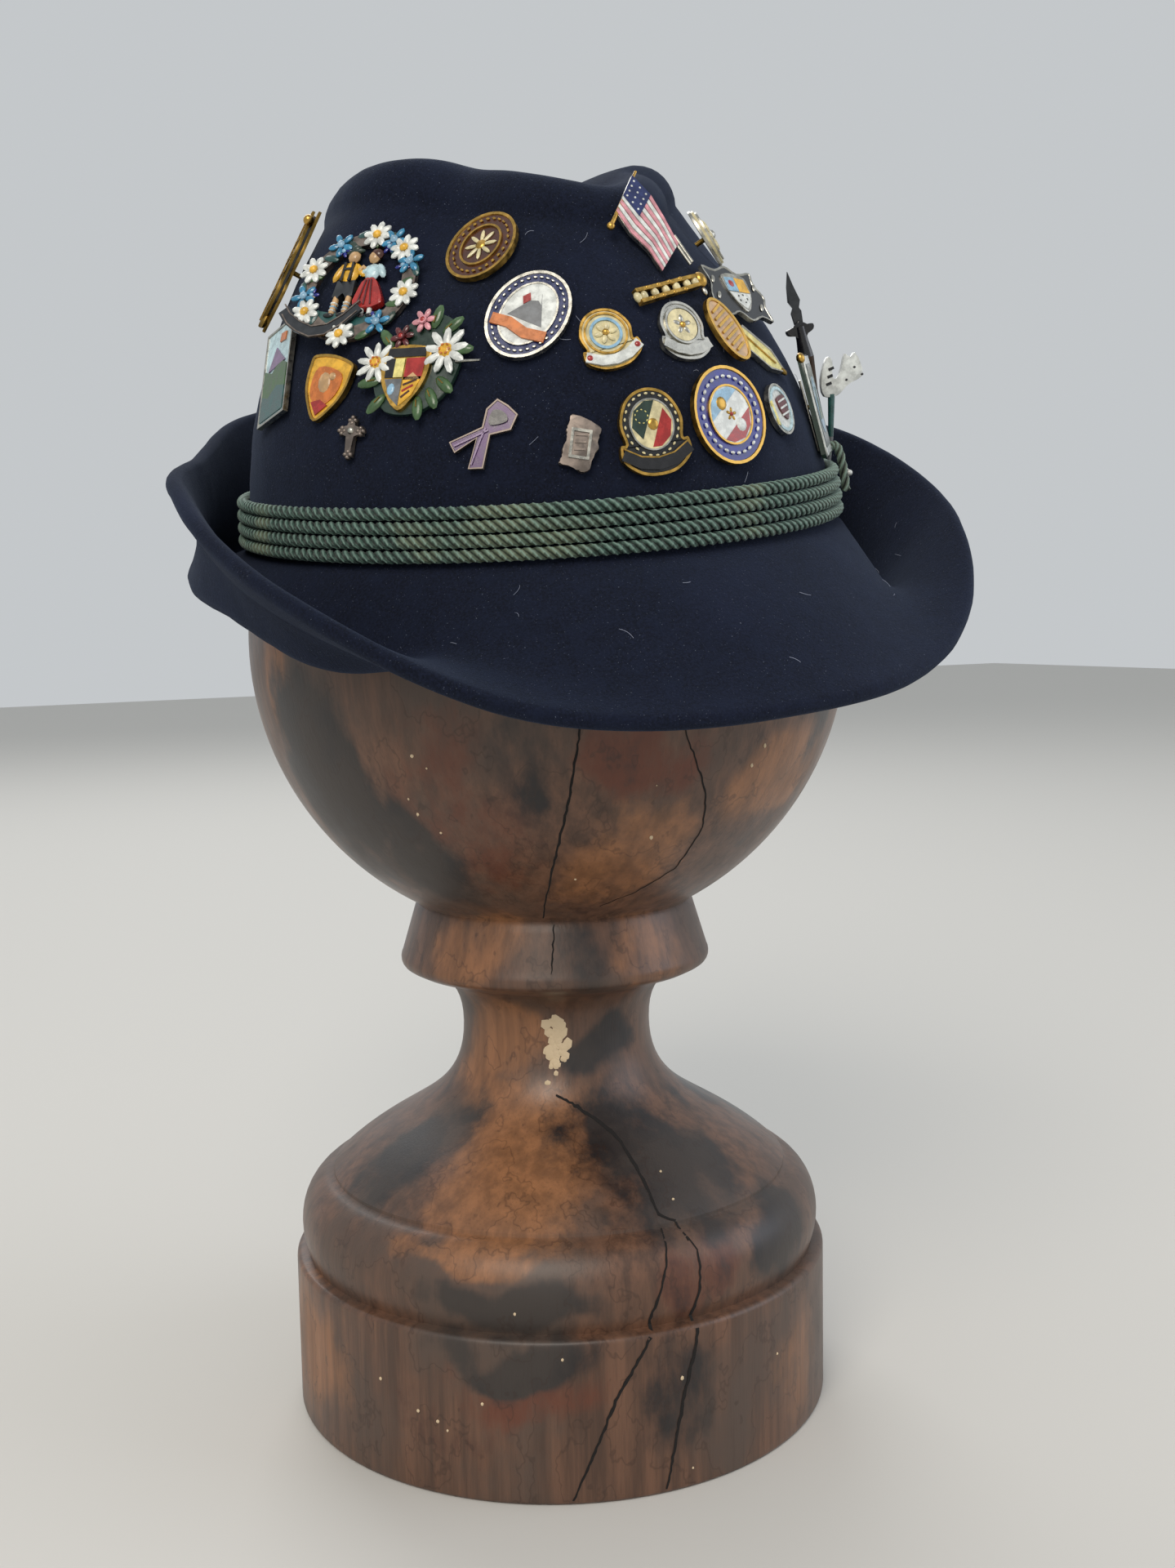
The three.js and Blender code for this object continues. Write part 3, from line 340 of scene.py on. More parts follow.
def stand_point(turn, z, proud):
    """A point just proud of the turned face, at an angle and a height."""
    radius = 0.0
    for (r_low, low), (r_high, high) in zip(profile, profile[1:]):
        if low <= z <= high and high > low:
            radius = max(radius, r_low + (r_high - r_low) * (z - low) / (high - low))
    a = math.radians(turn)
    return Vector(((radius + proud) * math.sin(a), -(radius + proud) * math.cos(a), z)) * MM


# The near-black of the splits is painted shade of the open cracks.
split_shade_paint, tree, shader = material("painted_split_shade", Base_Color=colour("0d0806"), Roughness=0.9)
filler_paint, tree, shader = material("pale_filler", Base_Color=colour("c9b596"), Roughness=0.9)
for split in SPLITS:
    course = [Vector(point) for point in densify(split["line"], 1.3)]
    edge_pairs = []
    for i, point in enumerate(course):
        ahead = course[min(i + 1, len(course) - 1)] - course[max(i - 1, 0)]
        scale = math.radians(1) * stand_point(point.x, point.y, 0).xy.length / MM
        away = Vector((-ahead.y, ahead.x * scale)).normalized()
        share = i / (len(course) - 1)
        swell = 0.35 + 0.65 * math.sin(math.pi * (0.08 + 0.84 * share))
        half = split["width"] / 2 * swell * random.uniform(0.7, 1.15)
        drift = random.uniform(-0.22, 0.22)
        sides = [(point.x + away.x * (drift + k * half) / scale,
                  point.y + away.y * (drift + k * half)) for k in (-1, 1)]
        edge_pairs.append([stand.verts.new(stand_point(turn, z, 0.1)) for turn, z in sides])
    for a, b in zip(edge_pairs, edge_pairs[1:]):
        stand.faces.new((a[0], a[1], b[1], b[0])).material_index = 1
spots = [(FILLER_PLACE[0] + random.gauss(0, 0.5) * FILLER_SPREAD[0],
          FILLER_PLACE[1] + random.gauss(0, 0.5) * FILLER_SPREAD[1],
          random.uniform(0.7, 1.9)) for _ in range(60)]
spots += [(random.uniform(-75, 20), random.choice((random.uniform(4, 96), random.uniform(160, 205))),
           random.uniform(0.25, 0.6))
          for _ in range(SPECKS)]
for turn, z, size in spots:
    at = stand_point(turn, z, 0.0)
    a = math.radians(turn)
    facing = Matrix.Rotation(a, 4, "Z") @ Matrix.Diagonal((size * MM, 0.35 * MM,
                                                           size * random.uniform(0.8, 1.5) * MM, 1))
    made = bmesh.ops.create_icosphere(stand, subdivisions=1, radius=1, matrix=Matrix.Translation(at) @ facing)
    for face in {face for vert in made["verts"] for face in vert.link_faces}:
        face.material_index = 2
finished("stand_wood", stand, [wood, split_shade_paint, filler_paint], "wood", "wood_stand")

# The hat body is one piece of navy wool felt, blocked to shape: the crown with its centre crease and front
# pinch, and the brim, turned down in front and rolled up at the sides and back. Its edge is turned under
# and stitched, so it is two layers thick for the width of the hem.
OPENING_HALF_LENGTH = 85.1
OPENING_HALF_WIDTH = 84.7
CROWN_HEIGHT = 108.4
FELT = 2.4
EDGE_FELT = 4.6
HEM_WIDTH = 10.0
HEM_GROOVE = 0.8
BRIM_WIDTH = 50.0
BRIM_BOW = 0.35
BRIM_ROLL_BOW = 1.42
SHOULDER_RADIUS = 11.2
CREASE_DEPTH = 18.4
CREASE_HALF_WIDTH = 23.2
PINCH_DEPTH = 5.0
PINCH_ANGLE = 55.0
PINCH_SPREAD = 22.0
PINCH_PLACE = 0.76
PINCH_TALL = 0.14
RIDGE_LEAN = -0.026
DOME_DROP = 0.165
CREASE_BACK = (0.25, 0.63)
CREASE_FRONT = (0.2, 0.6)
CREASE_FRONT_SHARE = 0.5
CREASE_WIDENING = 0.35
FLARE = 3.2
FLARE_HEIGHT = 4.5
FLARE_KNEE = (0.3, 0.35)
SEAT_GAP = 0.8
HAT_NOD_DEG = 6.3
HAT_LIST_DEG = -6.0
FELT_TURNS = 200
BRIM_ROWS = 26
WALL_ROWS = 34
SHOULDER_ROWS = 8
TIP_ROWS = 16
LIP_ROWS = 6

# Half sections of the hat from the front (0) round to the back (180); both sides are alike. reach and rise
# place the brim's edge in shares of its width, fall and lean are its slopes in degrees at the opening and
# at the edge, and taper and curl say how far and how fast the wall draws in towards the tip.
SECTION_COLUMNS = ("angle", "reach", "rise", "fall", "lean", "taper", "curl")
SECTIONS = [dict(zip(SECTION_COLUMNS, row)) for row in (
    (0, 0.85, -0.61, -23, -34, 0.66, 2.35),
    (30, 0.79, -0.51, -36, -12, 0.71, 2.1),
    (60, 0.68, 0.02, -57, 43, 0.72, 1.95),
    (90, 0.43, 0.45, -35, 58, 0.59, 2.25),
    (120, 0.24, 0.53, -19, 80, 0.50, 2.15),
    (150, 0.44, 0.71, -15, 76, 0.31, 2.0),
    (180, 0.64, 0.77, -10, 76, 0.17, 2.0),
)]
SECTION_STEP = 30.0

inner_opening = OPENING_HALF_WIDTH - FELT - SEAT_GAP
seat_height = math.sqrt(BALL_RADIUS ** 2 - inner_opening ** 2) - FLARE_HEIGHT
head_frame = (
    Matrix.Translation((0, 0, BALL_HEIGHT * MM))
    @ Matrix.Rotation(math.radians(HAT_NOD_DEG), 4, "X")
    @ Matrix.Rotation(math.radians(HAT_LIST_DEG), 4, "Y")
    @ Matrix.Translation((0, 0, seat_height * MM))
    @ Matrix.Scale(MM, 4))


def turn_of(theta):
    """Degrees from the front, the same on both sides."""
    return abs((math.degrees(theta) + 180) % 360 - 180)


def curve(a, b, c, d, t):
    """The smooth curve through a, b, c and d at a share of the way from b to c."""
    return b + 0.5 * t * (c - a + t * (2 * a - 5 * b + 4 * c - d + t * (3 * (b - c) + d - a)))


def section(column, theta):
    """A column of SECTIONS at any angle, by a smooth curve through its rows."""
    spot = turn_of(theta) / SECTION_STEP
    i = min(int(spot), len(SECTIONS) - 2)
    t = spot - i
    last = len(SECTIONS) - 1
    a, b, c, d = (SECTIONS[abs(k) if k <= last else 2 * last - k][column] for k in (i - 1, i, i + 1, i + 2))
    return curve(a, b, c, d, t)


def opening_radius(theta):
    return 1 / math.hypot(math.cos(theta) / OPENING_HALF_LENGTH, math.sin(theta) / OPENING_HALF_WIDTH)


def wall_radius(theta, z):
    """The crown's radius at an angle and a height, with the two dents of the front pinch."""
    share = min(max(z / CROWN_HEIGHT, 0), 1)
    plain = opening_radius(theta) * (1 - section("taper", theta) * share ** section("curl", theta))
    around = math.exp(-((turn_of(theta) - PINCH_ANGLE) / PINCH_SPREAD) ** 2)
    along = math.exp(-((share - PINCH_PLACE) / PINCH_TALL) ** 2)
    return plain - PINCH_DEPTH * around * along


def smooth(value, low, high):
    t = min(max((value - low) / (high - low), 0), 1)
    return t * t * (3 - 2 * t)


def tip_height(x, y):
    """The crown's tip over a plan point: a low dome with the centre crease."""
    back = y / OPENING_HALF_LENGTH
    dome = CROWN_HEIGHT * (1 - DOME_DROP * (x * x + y * y) / OPENING_HALF_WIDTH ** 2)
    if back > 0:
        ends = 1 - smooth(back, *CREASE_BACK)
    else:
        ends = 1 - (1 - CREASE_FRONT_SHARE) * smooth(-back, *CREASE_FRONT)
    width = CREASE_HALF_WIDTH * (1 + CREASE_WIDENING * min(max(back, -1), 1))
    return dome + RIDGE_LEAN * x - CREASE_DEPTH * ends * math.exp(-(x / width) ** 2)


def felt_section(theta):
    """The felt's outer skin at one angle, as radius and height, from the brim's edge to the tip."""
    opening = opening_radius(theta)
    lean, fall = math.radians(section("lean", theta)), math.radians(section("fall", theta))
    edge = (opening + section("reach", theta) * BRIM_WIDTH, section("rise", theta) * BRIM_WIDTH)
    start = (opening + FLARE, 0.0)
    bow = math.dist(edge, start) * (BRIM_BOW + BRIM_ROLL_BOW * math.sin((lean - fall) / 2) ** 2)
    by_edge = (edge[0] - math.cos(lean) * bow, edge[1] - math.sin(lean) * bow)
    by_start = (start[0] + math.cos(fall) * bow, start[1] + math.sin(fall) * bow)
    points = [edge] + bezier(edge, by_edge, by_start, start, BRIM_ROWS)
    points.append((opening + FLARE * FLARE_KNEE[0], FLARE_HEIGHT * FLARE_KNEE[1]))
    sin, cos = math.sin(theta), -math.cos(theta)
    rim = wall_radius(theta, CROWN_HEIGHT - SHOULDER_RADIUS)
    for _ in range(4):
        inset = rim - SHOULDER_RADIUS
        top = tip_height(inset * sin, inset * cos)
        rim = wall_radius(theta, top - SHOULDER_RADIUS)
    wall_top = top - SHOULDER_RADIUS
    for i in range(WALL_ROWS + 1):
        z = FLARE_HEIGHT + (wall_top - FLARE_HEIGHT) * i / WALL_ROWS
        points.append((wall_radius(theta, z), z))
    points += arc((rim - SHOULDER_RADIUS, wall_top), SHOULDER_RADIUS, 0, 90, SHOULDER_ROWS)[1:]
    for i in range(1, TIP_ROWS):
        r = (rim - SHOULDER_RADIUS) * (1 - i / TIP_ROWS)
        points.append((r, tip_height(r * sin, r * cos)))
    points.append((0.0, tip_height(0, 0)))
    return points


def round_point(theta, r, z):
    return Vector((r * math.sin(theta), -r * math.cos(theta), z))


skin = [[round_point(theta, r, z) for r, z in felt_section(theta)]
        for theta in (2 * math.pi * c / FELT_TURNS for c in range(FELT_TURNS))]
skin_rows = len(skin[0])
lip_start = skin_rows
inner_start = skin_rows + LIP_ROWS


def skin_normal(c, r):
    """The way out of the felt at a point of its outer skin."""
    if r == skin_rows - 1:
        return Vector((0, 0, 1))
    around = skin[(c + 1) % FELT_TURNS][r] - skin[c - 1][r]
    along = skin[c][r + 1] - skin[c][max(r - 1, 0)]
    return around.cross(along).normalized()


def felt_thickness(column, r):
    """Two layers over the hem, with a small groove where its stitching draws it in."""
    reach = sum((column[i + 1] - column[i]).length for i in range(r)) if r < BRIM_ROWS else BRIM_WIDTH
    hem = 1 - smooth(reach, HEM_WIDTH - 1.2, HEM_WIDTH + 0.6)
    groove = math.exp(-((reach - HEM_WIDTH - 0.5) / 0.9) ** 2)
    return FELT + (EDGE_FELT - FELT) * hem - HEM_GROOVE * groove


# The section is spun as a plain tube whose height counts the rows from the outer tip, round the lip and up
# the inside to the inner tip; each point is then moved to its place on the hat.
felt = bmesh.new()
last_row = 2 * skin_rows + LIP_ROWS - 1
column = [felt.verts.new((1, 0, row)) for row in range(last_row + 1)]
spine = [felt.edges.new(pair) for pair in zip(column, column[1:])]
bmesh.ops.spin(felt, geom=column + spine, cent=(0, 0, 0), axis=(0, 0, 1), angle=2 * math.pi, steps=FELT_TURNS,
               use_merge=True)
lips = {}
for vert in felt.verts:
    c = round(math.atan2(vert.co.x, -vert.co.y) / (2 * math.pi) * FELT_TURNS) % FELT_TURNS
    row = round(vert.co.z)
    if row < skin_rows:
        vert.co = skin[c][skin_rows - 1 - row]
    elif row >= inner_start:
        r = row - inner_start
        vert.co = skin[c][r] - skin_normal(c, r) * felt_thickness(skin[c], r)
    else:
        out = skin_normal(c, 0)
        middle = skin[c][0] - out * (EDGE_FELT / 2)
        away = (skin[c][0] - skin[c][1]).normalized()
        a = math.radians(180 * (row - lip_start + 1) / (LIP_ROWS + 1))
        vert.co = middle + (out * math.cos(a) + away * math.sin(a)) * (EDGE_FELT / 2)
for vert in felt.verts:
    drift = noise.noise(vert.co * 0.045) * 0.5 + noise.noise(vert.co * 0.16) * 0.16
    vert.co += vert.normal * drift if vert.normal.length else Vector((0, 0, 0))
bmesh.ops.transform(felt, matrix=head_frame, verts=felt.verts)
bmesh.ops.remove_doubles(felt, verts=felt.verts, dist=0.02 * MM)
bmesh.ops.recalc_face_normals(felt, faces=felt.faces)

navy_felt, tree, shader = material("navy_wool_felt", Roughness=0.95, Specular_IOR_Level=0.12,
                                   Sheen_Weight=0.14,
                                   Sheen_Roughness=0.55, Sheen_Tint=colour("8fa3c8"))
place = node(tree, "TexCoord").outputs["Object"]
nap = speckle(tree, place, 1500, 5.0, rough=0.7)
mottle = speckle(tree, place, 160, 4.0, rough=0.6)
worn = speckle(tree, place, 18, 3.0, rough=0.5)
lint = speckle(tree, place, 2600, 2.0, rough=0.4)
body = mixed(tree, between(tree, nap, 0.34, 0.7), colour("080b15"), colour("151a2b"))
body = mixed(tree, between(tree, mottle, 0.4, 0.7, 0, 0.5), body, colour("121829"))
body = mixed(tree, between(tree, worn, 0.45, 0.75, 0, 0.35), body, colour("1b2136"))
body = mixed(tree, between(tree, lint, 0.71, 0.76, 0, 0.4), body, colour("7d8698"))
tree.links.new(body, shader.inputs["Base Color"])
bump(tree, shader, maths(tree, "ADD", nap, maths(tree, "MULTIPLY", mottle, 0.8)), 0.35 * MM, 0.55)
finished("hat_felt_body", felt, [navy_felt], "felt", "hat_felt")

# A few pale hairs of lint cling to the nap.
LINT_HAIRS = 30
LINT_RADIUS = 0.05
hairs = bmesh.new()
for _ in range(LINT_HAIRS):
    c = round(random.uniform(-60, 75) / 360 * FELT_TURNS)
    r = random.choice((random.randint(3, BRIM_ROWS - 3), random.randint(BRIM_ROWS + 8,
                                                                        skin_rows - TIP_ROWS - 4)))
    here = skin[c % FELT_TURNS][r]
    out = skin_normal(c % FELT_TURNS, r)
    way = out.orthogonal().normalized()
    way.rotate(Matrix.Rotation(random.uniform(0, 6.28), 3, out))
    bend = random.uniform(-0.5, 0.5)
    length = random.uniform(0.7, 2.2)
    across = out.cross(way)
    rings = []
    for i in range(7):
        t = i / 6 - 0.5
        middle = here + out * (0.5 - 0.9 * t * t) + way * (t * length * 2) + across * (bend * 4 * t * t)
        rings.append([hairs.verts.new(middle + (across * x + out * y) * LINT_RADIUS) for x,
                      y in ((1, 0), (-0.5, 0.87), (-0.5, -0.87))])
    for a, b in zip(rings, rings[1:]):
        for k in range(3):
            hairs.faces.new((a[k], a[(k + 1) % 3], b[(k + 1) % 3], b[k]))
bmesh.ops.transform(hairs, matrix=head_frame, verts=hairs.verts)
bmesh.ops.recalc_face_normals(hairs, faces=hairs.faces)
lint_paint, tree, shader = material("pale_lint", Base_Color=colour("8d94a6"), Roughness=0.9)
finished("felt_lint", hairs, [lint_paint], "felt")

# The band is four strands of hard-twisted cord, each a closed ring laid round the foot of the crown. Every
# strand is three plies of green and grey-green yarn, with a painted highlight on the outer face of each ply
# and painted shade where the plies meet.
BAND_CORD = 3.6
BAND_PITCH = 3.55
BAND_FOOT_HEIGHT = 2.6
BAND_STRANDS = 4
CORD_GAP = 0.3
PLIES = 3
PLY_SIDES = 8
PLY_SHARE = 0.25
PLY_TURN_SHARE = 2.25
CORD_STEP = 0.95


def strand_height(index):
    return BAND_FOOT_HEIGHT + BAND_CORD / 2 + BAND_PITCH * index


def cord_radius(theta, z):
    """The middle of a cord that lies on the felt, which swells a little into the brim."""
    swell = FLARE * min(max(1 - z / FLARE_HEIGHT, 0), 1)
    return wall_radius(theta, z) + swell + CORD_GAP + BAND_CORD / 2


def twisted(bm, route, closed, start_turn, cord, flat=None):
    """Lays the plies of one cord along a route of points, and marks on each point its ply, how far it faces
    out of its ply (which the paint turns into a painted highlight and painted shade) and the cord's faded
    stretch.
    """
    tint = bm.verts.layers.float_color.get("yarn") or bm.verts.layers.float_color.new("yarn")
    length = sum((b - a).length for a, b in zip(route, route[1:]))
    if closed:
        length += (route[0] - route[-1]).length
    ply_radius = PLY_SHARE * cord
    arm = cord / 2 - ply_radius
    turn_length = PLY_TURN_SHARE * cord
    turns = length / turn_length
    if closed:
        turns = round(turns)
    count = len(route)
    for ply in range(PLIES):
        rings = []
        for i, here in enumerate(route):
            ahead = route[(i + 1) % count] if closed or i + 1 < count else here
            behind = route[i - 1] if closed or i else here
            along = (ahead - behind).normalized()
            side = flat or along.cross(Vector((0, 0, 1))).normalized()
            up = side.cross(along)
            share = i / count
            a = 2 * math.pi * (ply / PLIES - share * turns + start_turn)
            out = side * math.cos(a) + up * math.sin(a)
            middle = here + out * arm
            lay = side * math.sin(a) - up * math.cos(a)
            run = (along + lay * (2 * math.pi * arm / turn_length)).normalized()
            across = run.cross(out)
            turned = math.degrees(math.atan2(here.x, -here.y))
            fade = smooth(turned, 8, 60) * (1 - smooth(turned, 130, 175))
            ring = []
            for k in range(PLY_SIDES):
                b = 2 * math.pi * k / PLY_SIDES
                vert = bm.verts.new(middle + (out * math.cos(b) + across * math.sin(b)) * ply_radius)
                # Green runs from 1 on the ply's outer face to 0 where it meets the other plies; the paint
                # lightens the one as a painted highlight and darkens the other as painted shade.
                vert[tint] = (ply / PLIES, 0.5 + 0.5 * math.cos(b), fade, 1)
                ring.append(vert)
            rings.append(ring)
        pairs = zip(rings, rings[1:] + rings[:1]) if closed else zip(rings, rings[1:])
        for a_ring, b_ring in pairs:
            for k in range(PLY_SIDES):
                m = (k + 1) % PLY_SIDES
                bm.faces.new((a_ring[k], b_ring[k], b_ring[m], a_ring[m]))
        if not closed:
            bm.faces.new(rings[0])
            bm.faces.new(reversed(rings[-1]))


cord_green, tree, shader = material("twisted_green_cord", Roughness=0.6, Specular_IOR_Level=0.35,
                                    Sheen_Weight=0.2,
                                    Sheen_Roughness=0.4)
place = node(tree, "TexCoord").outputs["Object"]
yarn = node(tree, "SeparateColor", {"Color": node(tree, "Attribute", attribute_name="yarn").outputs["Color"]})
thread = speckle(tree, place, 900, 4.0)
faded = speckle(tree, place, 28, 4.0)
body = mixed(tree, between(tree, thread, 0.35, 0.65), colour("1b2e28"), colour("3a554b"))
body = mixed(tree, between(tree, faded, 0.5, 0.64, 0, 0.6), body, colour("6f765c"))
body = mixed(tree, between(tree, yarn.outputs["Blue"], 0.0, 1.0, 0, 0.6), body, colour("6b7566"))
# Painted highlight: the outer face of each ply is lifted to a pale grey-green. Painted shade: the faces where
# the plies meet fall to near black.
body = mixed(tree, between(tree, yarn.outputs["Green"], 0.86, 1.0, 0, 0.55), body, colour("86a397"))
body = mixed(tree, between(tree, yarn.outputs["Green"], 0.4, 0.9, 1, 0), body, colour("070e0c"))
tree.links.new(body, shader.inputs["Base Color"])
bump(tree, shader, thread, 0.25 * MM, 0.7)
for index in range(BAND_STRANDS):
    strand = bmesh.new()
    z = strand_height(index)
    steps = round(2 * math.pi * cord_radius(0, z) / CORD_STEP)
    route = [round_point(2 * math.pi * i / steps, cord_radius(2 * math.pi * i / steps, z),
                         z) for i in range(steps)]
    twisted(strand, route, True, index * 0.21, BAND_CORD - 0.1)
    bmesh.ops.recalc_face_normals(strand, faces=strand.faces)
    bmesh.ops.transform(strand, matrix=head_frame, verts=strand.verts)
    finished(f"cord_strand_{index + 1}", strand, [cord_green], "cord", f"band_cord_{index + 1}")

# A thinner cord is wrapped once round all four strands at the right of the front, over the top and down
# outside them, to hold the band together.
WRAP_ANGLE_DEG = 60.0
WRAP_CORD = 2.8
wrap_theta = math.radians(WRAP_ANGLE_DEG)
wrap_top = strand_height(BAND_STRANDS - 1)
wrap_over = wrap_top + (BAND_CORD + WRAP_CORD) / 2 + 2 * CORD_GAP
wrap_outside = (BAND_CORD + WRAP_CORD) / 2 + 2 * CORD_GAP
WRAP_ROUTE = [(-0.3, wrap_over), (0.45 * BAND_CORD, wrap_over + 2.2), (0.95 * BAND_CORD, wrap_over + 1.4),
              (wrap_outside, wrap_top), (wrap_outside, strand_height(1))]
stops = [round_point(wrap_theta, cord_radius(wrap_theta, z) + out, z) for out, z in WRAP_ROUTE]
route = [stops[0]]
for i in range(len(stops) - 1):
    a, b, c, d = (stops[min(max(k, 0), len(stops) - 1)] for k in (i - 1, i, i + 1, i + 2))
    for step in range(1, 9):
        t = step / 8
        route.append(curve(a, b, c, d, t))
wrap = bmesh.new()
twisted(wrap, route, False, 0.1, WRAP_CORD, Vector((math.cos(wrap_theta), math.sin(wrap_theta), 0)))
bmesh.ops.recalc_face_normals(wrap, faces=wrap.faces)
bmesh.ops.transform(wrap, matrix=head_frame, verts=wrap.verts)
finished("cord_wrap", wrap, [cord_green], "cord", "band_wrap")

# Enamelled tin and brass pins cover the crown's left side and front: stamped plates with a raised rim, filled
# with fired enamel, each on a post pushed through the felt. Their paints are listed here.
PAINT_COLUMNS = ("name", "hex", "metal", "rough")
PAINTS = [dict(zip(PAINT_COLUMNS, row)) for row in (
    ("gold", "c8a052", 1.0, 0.3),
    ("old_gold", "8a7038", 1.0, 0.42),
    ("silver", "bab8ae", 1.0, 0.28),
    ("pewter", "8a7f77", 1.0, 0.42),
    ("bronze", "3a2c22", 0.8, 0.45),
    ("white", "d6dad6", 0.0, 0.25),
    ("cream", "d3c89c", 0.0, 0.28),
    ("black", "131316", 0.0, 0.22),
    ("navy", "1d2a5c", 0.0, 0.2),
    ("blue", "18207c", 0.0, 0.2),
    ("sky", "86aec8", 0.0, 0.25),
    ("pale_blue", "b4cfd6", 0.0, 0.25),
    ("turquoise", "2f7fa6", 0.0, 0.22),
    ("teal", "25504e", 0.0, 0.25),
    ("green", "3a5a30", 0.0, 0.3),
    ("dark_green", "1c3228", 0.0, 0.28),
    ("red", "a02622", 0.0, 0.22),
    ("dark_red", "551518", 0.0, 0.25),
    ("orange", "c56f2c", 0.0, 0.25),
    ("yellow", "dca92e", 0.0, 0.25),
    ("pale_yellow", "e2d684", 0.0, 0.25),
    ("tan", "bf9a6c", 0.0, 0.35),
    ("brown", "46200f", 0.0, 0.28),
    ("grey", "6a6d70", 0.2, 0.35),
    ("charcoal", "2a2e33", 0.3, 0.35),
    ("violet", "4e2560", 0.0, 0.3),
    ("lilac", "7d6588", 0.0, 0.3),
    ("pink", "cf8f98", 0.0, 0.3),
)]
PAINT_NAMES = [row["name"] for row in PAINTS]
POST_RADIUS = 0.7
pin_paints = {}


def pin_paint(row):
    """One metal or enamel, a little uneven in tint and gloss, made when a pin first needs it."""
    if row["name"] in pin_paints:
        return pin_paints[row["name"]]
    made, tree, shader = material("pin_" + row["name"], Metallic=row["metal"])
    if row["metal"] < 0.5:
        shader.inputs["Coat Weight"].default_value = 0.35
        shader.inputs["Coat Roughness"].default_value = 0.12
    place = node(tree, "TexCoord").outputs["Object"]
    worn = speckle(tree, place, 420, 4.0, rough=0.6)
    base = Vector(colour(row["hex"])[:3])
    body = mixed(tree, between(tree, worn, 0.35, 0.7), tuple(base * 0.72) + (1.0,),
                 tuple(base * 1.12) + (1.0,))
    tree.links.new(body, shader.inputs["Base Color"])
    gloss = between(tree, worn, 0.3, 0.7, row["rough"] - 0.06, row["rough"] + 0.14)
    tree.links.new(gloss, shader.inputs["Roughness"])
    bump(tree, shader, worn, 0.08 * MM, 0.35)
    pin_paints[row["name"]] = made
    return made


def seat_of(node_name, thick, angle, height, roll, yaw=0, pitch=0):
    """The frame of a pin's back, x to its right and y up on the crown's wall, and its post's length."""
    theta = math.radians(angle)
    here = round_point(theta, wall_radius(theta, height), height)
    ahead, behind = (round_point(theta + d, wall_radius(theta + d, height), height) for d in (0.02, -0.02))
    above, below = (round_point(theta, wall_radius(theta, height + d), height + d) for d in (1, -1))
    across = (ahead - behind).normalized()
    out = across.cross((above - below).normalized()).normalized()
    basis = Matrix((across, out.cross(across), out)).transposed().to_4x4()
    for turn, axis in ((yaw, "Y"), (pitch, "X"), (roll, "Z")):
        basis = basis @ Matrix.Rotation(math.radians(turn), 4, axis)
    seat = head_frame @ Matrix.Translation(here) @ basis
    depths = [(seat.inverted() @ vert.co).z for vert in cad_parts[node_name].data.vertices]
    front = max(depths)
    return seat @ Matrix.Translation((0, 0, front - thick)), front - thick - min(depths)


def painted(faces, paint):
    for face in faces:
        face.material_index = PAINT_NAMES.index(paint)


def beside(reach, degrees, x=0.0, y=0.0):
    """The point at a reach and a turn from another in the plate's plane."""
    return x + reach * math.cos(math.radians(degrees)), y + reach * math.sin(math.radians(degrees))


def oval(w, h, x=0.0, y=0.0, sides=36):
    turns = (2 * math.pi * i / sides for i in range(sides))
    return [(x + w / 2 * math.cos(a), y + h / 2 * math.sin(a)) for a in turns]


def scaled(w, h, shares):
    return [(w * x, h * y) for x, y in shares]


def mirrored(w, h, shares):
    """A half outline from the foot up the right side to the top, with its left side."""
    return scaled(w, h, shares + [(-x, y) for x, y in reversed(shares) if x > 0])


def rounded(outline, steps=4):
    """The same outline with its corners drawn as soft bends."""
    soft = []
    count = len(outline)
    for i in range(count):
        a, b, c, d = (Vector(outline[(i + k) % count]) for k in (-1, 0, 1, 2))
        for step in range(steps):
            t = step / steps
            soft.append(tuple(curve(a, b, c, d, t)))
    return soft


def slab(bm, outline, low, high, paint, soften=0.0):
    """A flat piece on an outline, from low to high above the pin's back. Returns its top."""
    foot = [bm.verts.new((x, y, low)) for x, y in outline]
    head = [bm.verts.new((x, y, high)) for x, y in outline]
    top = bm.faces.new(head)
    faces = [top, bm.faces.new(foot[::-1])]
    for i in range(len(foot)):
        j = (i + 1) % len(foot)
        faces.append(bm.faces.new((foot[i], foot[j], head[j], head[i])))
    painted(faces, paint)
    if soften:
        bmesh.ops.bevel(bm, geom=list(top.edges), offset=soften, offset_type="OFFSET", segments=2,
                        profile=0.5,
                        affect="EDGES", material=-1)
    return top


def plate(bm, outline, thick, rim, sink, metal, enamel):
    """A stamped plate: a chamfered metal rim round a sunk field of enamel."""
    top = slab(bm, outline, 0, thick - 0.2, metal)
    bmesh.ops.inset_region(bm, faces=[top], thickness=0.2, depth=0.2)
    if rim:
        bmesh.ops.inset_region(bm, faces=[top], thickness=rim, depth=0)
        bmesh.ops.inset_region(bm, faces=[top], thickness=0.12, depth=-sink)
    painted([top], enamel)


def hoop(bm, outer, inner, low, high, paint):
    """A flat ring between two outlines of equal count."""
    rings = [[bm.verts.new((x, y, z)) for x, y in line]
             for line, z in ((outer, low), (outer, high), (inner, high), (inner, low))]
    for a, b in zip(rings, rings[1:] + rings[:1]):
        for i in range(len(a)):
            j = (i + 1) % len(a)
            painted([bm.faces.new((a[i], a[j], b[j], b[i]))], paint)


def dome(bm, x, y, z, rx, ry, rise, paint, turn=0.0, sides=10):
    """A low rounded boss, stretched and turned in the plate's plane."""
    shape = (Matrix.Translation((x, y, z)) @ Matrix.Rotation(math.radians(turn), 4, "Z")
             @ Matrix.Diagonal((rx, ry, rise, 1)))
    made = bmesh.ops.create_uvsphere(bm, u_segments=sides, v_segments=max(sides // 2 + 1, 4), radius=1,
                                     matrix=shape)
    painted({face for vert in made["verts"] for face in vert.link_faces}, paint)


